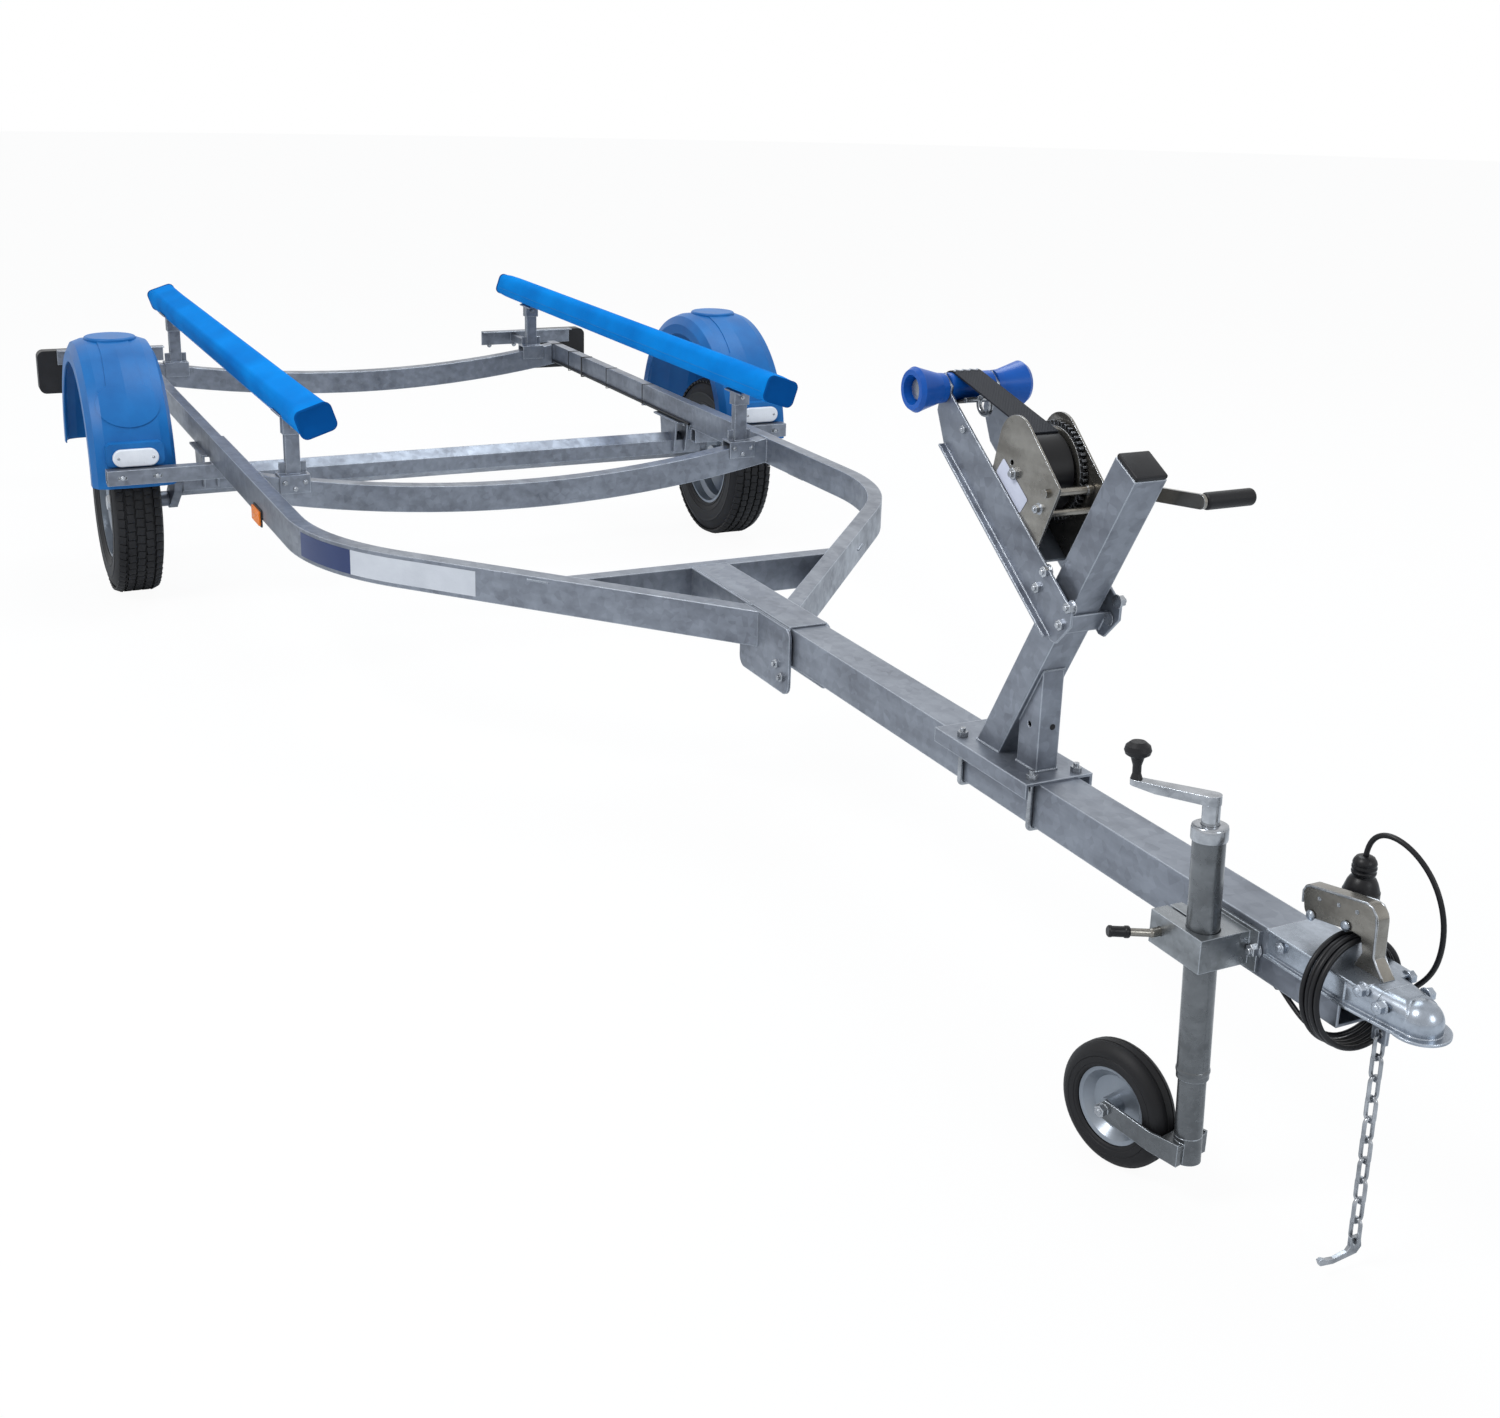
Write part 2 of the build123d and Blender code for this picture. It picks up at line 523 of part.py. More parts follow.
lens_face = Pos(LAMP_Y, LAMP_Z) * RectangleRounded(LAMP_W - 16, LAMP_H - 16, 20)
lens = Pos(LAMP_X - SEAT - LAMP_D, 0, 0) * extrude(Plane.YZ * lens_face, -LENS_D)
lens = fillet(lens.edges().group_by(Axis.X)[0], 8)
save("lamp_housings", *both(housing))
save("lamp_lenses", *both(lens))

# Bunk posts: a foot on the cross member, an upright tube and a tilted head under the board.
BUNK_UNDER = BUNK_H / 2 + SEAT
tilt_left = Pos(0, BUNK_Y, BUNK_Z) * Rot(BUNK_TILT, 0, 0)
posts = []


def bow_top(y, half, top, bow):
    r = (half * half + bow * bow) / (2 * bow)
    return top - bow + r - math.sqrt(r * r - y * y)


post_rows = [(CROSS_FRONT_X - CROSS_DEPTH / 2, bow_top(POST_Y, cross_half, RAIL_TOP, CROSS_FRONT_BOW)),
             (CROSS_REAR_X - CROSS_DEPTH / 2, bow_top(POST_Y, rear_half, REAR_TOP, CROSS_REAR_BOW))]
for x, top in post_rows:
    low = top - 16
    post = box(x - POST_D / 2, x + POST_D / 2, POST_Y - POST_W / 2, POST_Y + POST_W / 2, top + 10, BUNK_Z)
    foot = box(x - CROSS_DEPTH / 2 - FOOT_T - SEAT, x + CROSS_DEPTH / 2 + FOOT_T + SEAT,
               POST_Y - FOOT_W / 2, POST_Y + FOOT_W / 2, low - 22, top + 14)
    foot = foot - box(x - CROSS_DEPTH / 2 - SEAT, x + CROSS_DEPTH / 2 + SEAT, POST_Y - FOOT_W,
                      POST_Y + FOOT_W, low - 40, top + 14 - FOOT_T)
    web = box(x - 3, x + 3, POST_Y - FOOT_W / 2 + 4, POST_Y + FOOT_W / 2 - 4, top + 12, top + 46)
    head = Pos(x, 0, 0) * tilt_left * Pos(0, 0, -BUNK_UNDER - HEAD_T / 2) * Box(110, 70, HEAD_T)
    ear = box(x - POST_D / 2 - 5, x + POST_D / 2 + 5, POST_Y - POST_W / 2 - 5, POST_Y + POST_W / 2 + 5,
              BUNK_Z - 90, BUNK_Z)
    above = Pos(x, 0, 0) * tilt_left * Pos(0, 0, -BUNK_UNDER - HEAD_T + 100) * Box(300, 300, 200)
    posts.append((post + ear - above) + head + foot + web)
save("bunk_posts", *[p for one in posts for p in both(one)])

# Bunks: padded boards, soft, covered in cloth.
pad_face = RectangleRounded(BUNK_W, BUNK_H, BUNK_ROUND)
bunk = extrude(Plane.YZ * pad_face, BUNK_FRONT - BUNK_REAR)
bunk = fillet(bunk.edges().group_by(Axis.X)[0] + bunk.edges().group_by(Axis.X)[-1], 8)
bunk = Pos(BUNK_REAR, 0, 0) * tilt_left * bunk
save("bunk_left", bunk)
save("bunk_right", mirror(bunk, Plane.XZ))

# Winch saddle: a folded plate on the drawbar, held down by two U bolts.
s = SADDLE_W / 2
saddle_top = BAR_TOP + SADDLE_T
saddle = box(SADDLE_REAR, SADDLE_FRONT, -s, s, BAR_TOP, saddle_top)
for side in (-1, 1):
    lip = box(SADDLE_REAR, SADDLE_FRONT, s - SADDLE_T, s, BAR_TOP - SADDLE_LIP, saddle_top)
    saddle = saddle + (lip if side > 0 else mirror(lip, Plane.XZ))
leg_y = BAR / 2 + U_BOLT_R + SEAT
u_rows = [SADDLE_REAR + 57, SADDLE_FRONT - 17]
u_bolts = []
for x in u_rows:
    for side in (-1, 1):
        leg_hole = rod((x, side * leg_y, BAR_TOP - 50), (x, side * leg_y, saddle_top + 9), U_BOLT_R + SEAT)
        saddle = saddle - leg_hole
    low = BAR_BOTTOM - U_BOLT_R - SEAT
    corner = U_BOLT_R * 2
    route = FilletPolyline((x, -leg_y, saddle_top + 16), (x, -leg_y, low), (x, leg_y, low),
                           (x, leg_y, saddle_top + 16), radius=U_BOLT_R + 1)
    u_bolt = sweep(Plane(origin=(x, -leg_y, saddle_top + 16), z_dir=(0, 0, -1)) * Circle(U_BOLT_R), route)
    for side in (-1, 1):
        nut = Pos(x, side * leg_y, saddle_top + SEAT) * extrude(RegularPolygon(8.5, 6, major_radius=False), 9)
        u_bolt = u_bolt + nut
    u_bolts.append(u_bolt)
save("winch_saddle", saddle)
save("u_bolts", *u_bolts)

# Winch post: a tube that leans forwards and a short upright under it, welded together.
lean = math.radians(LEAN_ANGLE)
lean_dir = Vector(math.sin(lean), 0, math.cos(lean))
lean_len = (LEAN_TOP_Z - BAR_TOP) / math.cos(lean)
lean_side = (math.cos(lean), 0, -math.sin(lean))
lean_plane = Plane(origin=(LEAN_FOOT_X, 0, BAR_TOP), x_dir=lean_side, z_dir=lean_dir)


def leaning(size, start, length):
    return extrude(lean_plane.offset(start) * Rectangle(size, size), length)


above_saddle = box(SADDLE_REAR, BAR_FRONT, -BAR, BAR, saddle_top, FAR)
lean_outer = leaning(LEAN_TUBE, -60, lean_len + 60)
lean_bore = leaning(LEAN_TUBE - 2 * LEAN_WALL, -80, lean_len + 160)
prop = box(PROP_REAR, PROP_REAR + PROP_D, -PROP_W / 2, PROP_W / 2, saddle_top, LEAN_TOP_Z)
prop = prop - box(PROP_REAR + PROP_WALL, PROP_REAR + PROP_D - PROP_WALL, -PROP_W / 2 + PROP_WALL,
                  PROP_W / 2 - PROP_WALL, 0, FAR)
prop = (prop - lean_outer).solids().sort_by(Axis.Z)[0]
prop_holes = across(PROP_REAR + PROP_D / 2, saddle_top + 78, -50, 50, 5.5)
prop = prop - prop_holes
post = (lean_outer - lean_bore) & above_saddle
save("winch_post", post + prop)
cap = leaning(LEAN_TUBE - 2 * LEAN_WALL - 2 * SEAT, lean_len - 18, 18 + SEAT)
cap = cap + leaning(LEAN_TUBE, lean_len + SEAT, 6)
cap = fillet(cap.faces().sort_by(Axis.Z)[-1].edges(), 2)
save("post_cap", cap)

# Winch bracket: two side plates with turned-out lips, joined by clamp straps on the post and by a tray.
strip = math.radians(35.5)
u = (math.cos(strip), -math.sin(strip))
n = (math.sin(strip), math.cos(strip))
KEEL = (3184.0, 1151.0)            # upper rear corner of the plates' top edge
STRIP_W = 82.0


def on_strip(along, up):
    return (KEEL[0] + along * u[0] + up * n[0], KEEL[1] + along * u[1] + up * n[1])


plate_points = [on_strip(-22, 12), on_strip(10, 12), on_strip(14, 0), on_strip(500, 0), on_strip(515, -22),
                on_strip(508, -STRIP_W + 8), on_strip(496, -STRIP_W), on_strip(60, -STRIP_W),
                on_strip(4, -52)]
near_plate = plate_xz(plate_points, CHEEK_Y, CHEEK_Y + PLATE_T)
lip_points = [on_strip(60, -STRIP_W), on_strip(488, -STRIP_W), on_strip(488, -STRIP_W + PLATE_T),
              on_strip(60, -STRIP_W + PLATE_T)]
near_plate = near_plate + plate_xz(lip_points, CHEEK_Y, CHEEK_Y + 16)
eye = across(ROLLER_X, ROLLER_Z, CHEEK_Y, CHEEK_Y + PLATE_T, 20)
near_plate = near_plate + eye - across(ROLLER_X, ROLLER_Z, 0, 2 * CHEEK_Y, PIN_R + SEAT)
front_edge = LEAN_TUBE / 2 + SEAT
clamp = []
for start, deep in ((front_edge, 4.0), (-front_edge - 4.0, 4.0)):
    bar_plane = lean_plane.offset((on_strip(CLAMP_ALONG, -42)[1] - BAR_TOP) / math.cos(lean) - 26)
    bar_face = Pos(start + deep / 2, 0) * Rectangle(deep, 2 * CHEEK_Y)
    clamp.append(extrude(bar_plane * bar_face, 40))
tray_points = [on_strip(TRAY_REAR, -58), on_strip(TRAY_FRONT, -58), on_strip(TRAY_FRONT, -54),
               on_strip(TRAY_REAR, -54)]
tray = plate_xz(tray_points, -CHEEK_Y, CHEEK_Y)
bracket = near_plate + mirror(near_plate, Plane.XZ) + clamp[0] + clamp[1] + tray
save("winch_bracket", bracket)

# Winch frame: two side plates, round over the spool, inside the bracket.
side_points = [on_strip(TRAY_REAR, -53.7), on_strip(TRAY_FRONT, -53.7), on_strip(TRAY_FRONT + 8, 0),
               on_strip(TRAY_FRONT - 14, NOSE_RISE), on_strip(TRAY_REAR - 17, CROWN_RISE),
               on_strip(TRAY_REAR + 36, 0)]
side = plate_xz(side_points, CHEEK_Y - PLATE_T - SEAT, CHEEK_Y - SEAT)
corners = side.edges().filter_by(Axis.Y)
crown = corners.sort_by(Axis.Z)[-1]
side = fillet(corners - ShapeList([crown]), 7)
side = fillet(side.edges().filter_by(Axis.Y).sort_by(Axis.Z)[-1], CROWN_R)
side = side - across(WINCH_X, WINCH_Z, 0, 2 * CHEEK_Y, 6 + RUN)
side = side - across(CRANK_X, CRANK_Z, 0, 2 * CHEEK_Y, 7 + RUN)
side = side - across(WINCH_X - 12, WINCH_Z + 16, 0, 2 * CHEEK_Y, 5)
tie_x, tie_z = on_strip(TRAY_FRONT - 12, 58)
save("winch_frame", *both(side))
spindles = [across(WINCH_X, WINCH_Z, -CHEEK_Y - 8, CHEEK_Y + 8, 6),
            across(tie_x, tie_z, -CHEEK_Y + PLATE_T + 2 * SEAT, CHEEK_Y - PLATE_T - 2 * SEAT, 6)]
save("winch_spindles", *spindles)

# Spool: the rolled strap on its drum.
spool = across(WINCH_X, WINCH_Z, SPOOL_Y - STRAP_W / 2, SPOOL_Y + STRAP_W / 2, SPOOL_R)
spool = spool - across(WINCH_X, WINCH_Z, -100, 100, 6 + RUN)
save("winch_spool", spool)

# Drum gear with its teeth, and the pinion on the crank shaft.


def gear(x, z, y0, y1, r, teeth, bore):
    blank = Circle(r - 2 * GEAR_TOOTH)
    pitch = 2 * math.pi * r / teeth
    root = r - 2 * GEAR_TOOTH - 1
    tooth = make_face(Polyline((root, -pitch * 0.34), (r, -pitch * 0.17), (r, pitch * 0.17),
                               (root, pitch * 0.34), close=True))
    for place in PolarLocations(0, teeth):
        blank = blank + place * tooth
    blank = blank - Circle(bore)
    return Pos(x, y0, z) * extrude(Plane.XZ * blank, -(y1 - y0))


wheel = gear(WINCH_X, WINCH_Z, GEAR_Y - GEAR_T / 2, GEAR_Y + GEAR_T / 2, GEAR_R, GEAR_TEETH, 6 + RUN)
save("winch_gear", wheel)

# Crank: shaft with its pinion, flat arm and handgrip.
pinion_r = math.hypot(CRANK_X - WINCH_X, CRANK_Z - WINCH_Z) - GEAR_R + 0.5
shaft = across(CRANK_X, CRANK_Z, -CHEEK_Y - 6, CRANK_Y + 10, 7)
pinion = across(CRANK_X, CRANK_Z, GEAR_Y - GEAR_T / 2, GEAR_Y + GEAR_T / 2, pinion_r - 1.5)
rise = math.radians(CRANK_RISE)
grip_x = CRANK_X + CRANK_ARM * math.cos(rise)
grip_z = CRANK_Z + CRANK_ARM * math.sin(rise)
arm_way = (math.cos(rise), 0, math.sin(rise))
arm_plane = Plane(origin=(CRANK_X, CRANK_Y, CRANK_Z), x_dir=arm_way, z_dir=(0, 1, 0))
arm_face = Pos(CRANK_ARM / 2, 0) * SlotCenterToCenter(CRANK_ARM, 24)
crank = extrude(arm_plane * arm_face, 6) + shaft + pinion
crank = crank + across(grip_x, grip_z, CRANK_Y, CRANK_Y + 106, 5)
save("winch_crank", crank)
grip = across(grip_x, grip_z, CRANK_Y + 8, CRANK_Y + 104, 14)
grip = fillet(grip.edges(), 6) - across(grip_x, grip_z, CRANK_Y, CRANK_Y + 200, 5 + SEAT)
save("crank_grip", grip)

# Bow roller: two flared ends outside the plates and a plain middle between them, on one pin.
waist_y = CHEEK_Y + PLATE_T + SIDE_GAP
bore = PIN_R + RUN
flare = [(bore, waist_y), (ROLLER_WAIST_R, waist_y), (ROLLER_WAIST_R + 1, waist_y + 12),
         (ROLLER_END_R - 5, ROLLER_HALF - 24), (ROLLER_END_R, ROLLER_HALF - 8),
         (ROLLER_END_R - 5, ROLLER_HALF),
         (ROLLER_END_R - 14, ROLLER_HALF), (ROLLER_END_R - 17, ROLLER_HALF - 18), (bore, ROLLER_HALF - 18)]
flare = Pos(ROLLER_X, 0, ROLLER_Z) * turned(flare)
middle = across(ROLLER_X, ROLLER_Z, -CHEEK_Y + SIDE_GAP, CHEEK_Y - SIDE_GAP, ROLLER_WAIST_R)
middle = middle - across(ROLLER_X, ROLLER_Z, -100, 100, bore)
save("bow_roller", flare, mirror(flare, Plane.XZ), middle)
pin = across(ROLLER_X, ROLLER_Z, -ROLLER_HALF + 12, ROLLER_HALF - 12, PIN_R)
for side in (-1, 1):
    end = across(ROLLER_X, ROLLER_Z, ROLLER_HALF - 16, ROLLER_HALF - 12, PIN_R + 8)
    pin = pin + (end if side > 0 else mirror(end, Plane.XZ))
save("roller_pin", pin)

# Winch strap: off the top of the spool, over the roller and back under it to the hook.
strap_r = ROLLER_WAIST_R + SEAT
spool_r = SPOOL_R + SEAT
gap_x = WINCH_X - ROLLER_X
gap_z = WINCH_Z - ROLLER_Z
span = math.hypot(gap_x, gap_z)
base_turn = math.atan2(gap_z, gap_x)
open_turn = base_turn + math.acos((strap_r - spool_r) / span)


def off(cx, cz, r, turn):
    return (cx + r * math.cos(turn), cz + r * math.sin(turn))


under_turn = math.radians(290)


def strap_side(extra):
    top_spool = off(WINCH_X, WINCH_Z, spool_r + extra, open_turn)
    top_roller = off(ROLLER_X, ROLLER_Z, strap_r + extra, open_turn)
    behind = off(ROLLER_X, ROLLER_Z, strap_r + extra, math.pi)
    under = off(ROLLER_X, ROLLER_Z, strap_r + extra, under_turn)
    return top_spool, top_roller, behind, under


a, b, c, d = strap_side(0)
e, f, g2, h2 = strap_side(STRAP_T)
under_dir = (-math.sin(under_turn), math.cos(under_turn))
d_end = (d[0] + 34 * under_dir[0], d[1] + 34 * under_dir[1])
h_end = (h2[0] + 34 * under_dir[0], h2[1] + 34 * under_dir[1])
strap_edges = [Line(a, b), ThreePointArc(b, c, d), Line(d, d_end), Line(d_end, h_end), Line(h_end, h2),
               ThreePointArc(h2, g2, f), Line(f, e), Line(e, a)]
strap_face = make_face([x for piece in strap_edges for x in piece.edges()])
strap = Pos(0, SPOOL_Y - STRAP_W / 2, 0) * extrude(Plane.XZ * strap_face, -STRAP_W)
save("winch_strap", strap)
hook_mid = ((d_end[0] + h_end[0]) / 2, (d_end[1] + h_end[1]) / 2)
buckle = across(hook_mid[0] + 6, hook_mid[1], SPOOL_Y - STRAP_W / 2, SPOOL_Y + STRAP_W / 2, 5)
ring = Pos(hook_mid[0] + 26, SPOOL_Y, hook_mid[1] - 4) * Rot(90, 0, 0) * Torus(18, 5)
save("strap_hook", buckle + ring)

# Jockey wheel jack: tube clamped to the drawbar, telescoping stem, trailing fork.
JACK = Pos(JACK_X, JACK_Y, RAIL_MID) * Rot(0, JACK_LEAN, 0)


def jack_z(z):
    return z - RAIL_MID


def upright(z0, z1, r):
    return Pos(0, 0, jack_z(z0)) * Cylinder(r, z1 - z0, align=(Align.CENTER, Align.CENTER, Align.MIN))


jack_tube = upright(JACK_FOOT, JACK_TOP, JACK_R) - upright(JACK_FOOT - 1, JACK_TOP + 1, JACK_R - JACK_WALL)
jack_cap = upright(JACK_TOP, JACK_TOP + 14, JACK_R + 2) - upright(JACK_TOP - 1, JACK_TOP + 20, 8 + RUN)
save("jack_tube", JACK * (jack_tube + jack_cap))
crank_top = JACK_TOP + 60
crank_rod = upright(JACK_TOP - 30, crank_top, 8) + upright(JACK_TOP + 14 + SEAT, crank_top, JACK_HEAD_R)
arm_circles = Circle(JACK_HEAD_R + 1).edges() + (Pos(*JACK_REACH) * Circle(JACK_HEAD_R - 4)).edges()
arm = Pos(0, 0, jack_z(crank_top - 14)) * extrude(make_hull(arm_circles), 14)
arm_length = math.hypot(*JACK_REACH)
relief_points = [(20, -8), (arm_length + 20, 7), (arm_length + 20, -30), (20, -30)]
relief = extrude(Plane.XZ * make_face(Polyline(*relief_points, close=True)), 20, both=True)
arm_turn = math.degrees(math.atan2(JACK_REACH[1], JACK_REACH[0]))
arm = arm - Pos(0, 0, jack_z(crank_top - 14)) * Rot(0, 0, arm_turn) * relief
knob_pin = Pos(*JACK_REACH) * upright(crank_top - 2, crank_top + KNOB_TALL / 2, KNOB_PIN_R)
save("jack_crank", JACK * (crank_rod + arm + knob_pin))
pin_room = KNOB_PIN_R + SEAT
knob_points = [(pin_room, 0), (9, 0), (6.5, 8), (6.5, 20), (10, 32), (KNOB_R - 2, 37), (KNOB_R, 43),
               (KNOB_R - 2, 50),
               (11, KNOB_TALL), (0, KNOB_TALL), (0, KNOB_TALL / 2 + 2), (pin_room, KNOB_TALL / 2 + 2)]
knob = revolve(Plane.XZ * make_face(Polyline(*knob_points, close=True)), Axis.Z)
save("jack_knob", JACK * Pos(*JACK_REACH, jack_z(crank_top + SEAT)) * knob)

# Clamp: a split block round the tube on a plate bolted to the drawbar, with its screw lever.
clamp_y = -JACK_Y - BAR / 2
clamp_block = box(-CLAMP_EAR, 34, -JACK_R - 8, clamp_y, -CLAMP_H / 2, CLAMP_H / 2)
clamp_plate = Pos(0, clamp_y - 4, 0) * Box(104, 8, CLAMP_H + 12)
clamp_body = clamp_block + clamp_plate - box(-CLAMP_EAR - 1, -32, JACK_R, clamp_y - 8, -50, 50)
clamp_body = clamp_body - Cylinder(JACK_R + SEAT, 200)
clamp_body = clamp_body - box(-CLAMP_EAR - 1, -12, -2.5, 2.5, -50, 50)
clamp_body = clamp_body - rod((SCREW_X, -60, 0), (SCREW_X, 40, 0), SCREW_R + SEAT)
clamp_shape = Pos(JACK_X, JACK_Y, RAIL_MID) * clamp_body
clamp_shape = clamp_shape - JACK * Cylinder(JACK_R + SEAT, 300)
clamp_shape = clamp_shape - box(JACK_X - 2 * BAR, JACK_X + 2 * BAR, -BAR / 2, BAR / 2, 0, FAR)
save("jack_clamp", clamp_shape)
lever_a = (JACK_X + SCREW_X, JACK_Y + JACK_R + 10, RAIL_MID)
lever_b = (JACK_X + SCREW_X, JACK_Y - JACK_R - 22, RAIL_MID)
lever_c = (JACK_X + SCREW_X - 20, JACK_Y - JACK_R - 84, RAIL_MID + 6)
lever = rod(lever_a, lever_b, SCREW_R) + rod(lever_b, lever_c, SCREW_R - 1) + Pos(*lever_b) * Sphere(SCREW_R)
save("clamp_lever", lever)

# Stem, fork and jockey wheel
tip = math.radians(NOSE_DOWN)
slant = math.tan(math.radians(-JACK_LEAN))
hub_base = JACK_X + slant * RAIL_MID - JOCKEY_TRAIL
jockey_z = WHEEL_R * math.cos(tip) + JOCKEY_R - WHEEL_R + hub_base * math.sin(tip)
jockey_z = jockey_z / (math.cos(tip) + slant * math.sin(tip))
stem_x = JACK_X - (jockey_z - RAIL_MID) * slant
jockey_x = stem_x - JOCKEY_TRAIL
jack_back = JACK.inverse()
swivel = JACK * Rot(0, 0, JOCKEY_SWIVEL) * jack_back
tread_half = JOCKEY_W / 2 - 14
hub_mid = (PARKED * swivel * Pos(jockey_x, JACK_Y, jockey_z)).position
axle_way = (PARKED * swivel * Pos(jockey_x, JACK_Y + 1, jockey_z)).position - hub_mid
lowest = hub_mid.Z - JOCKEY_R * math.sqrt(1 - axle_way.Z ** 2) - tread_half * abs(axle_way.Z)
SETTLE = Pos(0, 0, -lowest)
stem_r = JACK_R - JACK_WALL - SEAT
stem_bore = stem_r - JACK_WALL
stem = upright(FORK_TOP + SEAT, JACK_FOOT + 260, stem_r) - upright(FORK_TOP, JACK_FOOT + 300, stem_bore)
save("jack_stem", SETTLE * JACK * stem)
fork_in = JOCKEY_W / 2 + 6
fork_mid = (STEM_FOOT + FORK_TOP) / 2
fork_points = [(stem_x + 8, fork_mid + 18), (stem_x - 44, fork_mid + 14), (jockey_x, jockey_z + 16),
               (jockey_x - 16, jockey_z), (jockey_x, jockey_z - 16), (stem_x - 44, fork_mid - 18),
               (stem_x + 8, fork_mid - 18)]
fork_leg = plate_xz(fork_points, fork_in, fork_in + 4)
bridge = box(stem_x - 26, stem_x + 8, -fork_in - 4, fork_in + 4, fork_mid - 18, fork_mid + 14)
fork = fork_leg + mirror(fork_leg, Plane.XZ) + bridge
fork = fork + across(jockey_x, jockey_z, -fork_in - 8, fork_in + 8, JOCKEY_AXLE_R)
fork = Pos(0, JACK_Y, 0) * fork
fork = fork + JACK * upright(STEM_FOOT, FORK_TOP, stem_r)
fork = fork + JACK * upright(FORK_TOP - 4, FORK_TOP + SPIGOT, stem_bore - RUN)
save("jockey_fork", SETTLE * swivel * fork)
jr = 62.0
jw = JOCKEY_W / 2
jrim_points = [(JOCKEY_AXLE_R + RUN, -fork_in + SIDE_GAP), (16, -fork_in + SIDE_GAP), (16, -4), (44, -4),
               (56, -jw + 8),
               (jr, -jw + 6), (jr, jw - 6), (56, jw - 8), (44, 4), (16, 4), (16, fork_in - SIDE_GAP),
               (JOCKEY_AXLE_R + RUN, fork_in - SIDE_GAP)]
jockey = SETTLE * swivel * Pos(jockey_x, JACK_Y, jockey_z)
save("jockey_rim", jockey * turned(jrim_points))
jtyre_points = [(jr + SEAT, -jw + 4), (jr + 22, -jw), (JOCKEY_R - 8, -jw + 5), (JOCKEY_R, -tread_half),
                (JOCKEY_R, tread_half), (JOCKEY_R - 8, jw - 5), (jr + 22, jw), (jr + SEAT, jw - 4)]
save("jockey_tyre", jockey * turned(jtyre_points))

# Coupling head: a pressed shell over the drawbar's end, necked in to the ball cup.
half_bar = BAR / 2 + SEAT


def shell(grow, x0, z0):
    w = half_bar + grow
    top = BAR_TOP + SEAT + grow
    cup = BALL_R + 0.5 + grow
    rear = box(x0, BAR_FRONT + 10, -w, w, z0, top)
    front_face = make_face(Polyline((0, -w), (0, w), (BALL_X - BAR_FRONT - 24, cup + 4),
                                    (BALL_X - BAR_FRONT, cup), (BALL_X - BAR_FRONT, -cup),
                                    (BALL_X - BAR_FRONT - 24, -cup - 4), close=True))
    front = extrude(front_face, top - z0)
    crown = front.edges().group_by(Axis.Z)[-1].sort_by(Axis.X)
    front = Pos(BAR_FRONT, 0, z0) * fillet(crown[1:], NECK_ROUND + grow)
    neck = box(BAR_FRONT - 20, BALL_X, -w, w, z0 - 1, top + 1)
    cup_low = Pos(BALL_X, 0, z0) * Cylinder(cup, BALL_Z - z0, align=(Align.CENTER, Align.CENTER, Align.MIN))
    return rear + (front & neck) + cup_low + Pos(BALL_X, 0, BALL_Z) * Sphere(cup)


outer_shell = shell(SHELL_T, SHELL_REAR, SHELL_FOOT)
inner_shell = shell(0, SHELL_REAR - 10, SHELL_FOOT - 60)
head = outer_shell - inner_shell
head = head - box(SHELL_REAR - 50, BALL_X + 100, -100, 100, SHELL_FOOT - 200, SHELL_FOOT)
rim_face = make_face(Polyline((SHELL_REAR, -half_bar - 10), (BAR_FRONT + 20, -half_bar - 10),
                              (BALL_X - 10, -BALL_R - 15), (BALL_X - 10, BALL_R + 15),
                              (BAR_FRONT + 20, half_bar + 10), (SHELL_REAR, half_bar + 10), close=True))
rim_disc = Pos(BALL_X, 0, SHELL_T / 2) * Cylinder(BALL_R + 16, SHELL_T)
rim_solid = Pos(0, 0, SHELL_FOOT) * (extrude(rim_face, SHELL_T) + rim_disc)
head = head + (rim_solid - inner_shell)
shell_top = BAR_TOP + SEAT + SHELL_T
ledge = box(SHELL_REAR, BAR_FRONT + 40, -half_bar - LEDGE, half_bar + LEDGE, shell_top - SHELL_T, shell_top)
head = head + (ledge - inner_shell)
cup_room = box(BALL_X - CUP_REAR, BALL_X + FAR, -BAR, BAR, 0, FAR)
save("coupling_head", head - Pos(-SEAT, 0, 0) * cup_room)
save("coupling_cup", head & cup_room)

# Coupling handle: a narrow pressed channel, open below, that arches back from its foot on the shell. Two
# rivets cross its underside.
handle_foot = BAR_TOP + 2 * SEAT + SHELL_T
handle_points = [(4118, 614), (4128, 568), (4176, 577), (4216, 585), (4234, 585), (4240, 564),
                 (4228, handle_foot),
                 (4284, handle_foot), (4262, 564), (4260, 640), (4208, 632)]
arch = make_face(Polyline(*handle_points, close=True))
arch = fillet(arch.vertices().sort_by(Axis.Y)[-1], 22)
arch = fillet(arch.vertices().sort_by(Axis.X)[:2], 13)
lever_plate = Pos(0, -HANDLE_HALF, 0) * extrude(Plane.XZ * arch, -2 * HANDLE_HALF)
hollow_half = HANDLE_HALF - HANDLE_WALL
hollow = Pos(0, -hollow_half, -HANDLE_WALL) * extrude(Plane.XZ * offset(arch, -HANDLE_WALL), -2 * hollow_half)
hollow = hollow & box(BALL_X - FAR, BALL_X + FAR, -BAR, BAR, handle_foot + 30, FAR)
lever_plate = lever_plate - hollow - Pos(0, 0, -2 * HANDLE_WALL) * hollow
for x, z in HANDLE_RIVETS:
    lever_plate = lever_plate + across(x, z, -HANDLE_HALF - 2, HANDLE_HALF + 2, 6)
save("coupling_handle", lever_plate.solids().sort_by(SortBy.VOLUME)[-1])

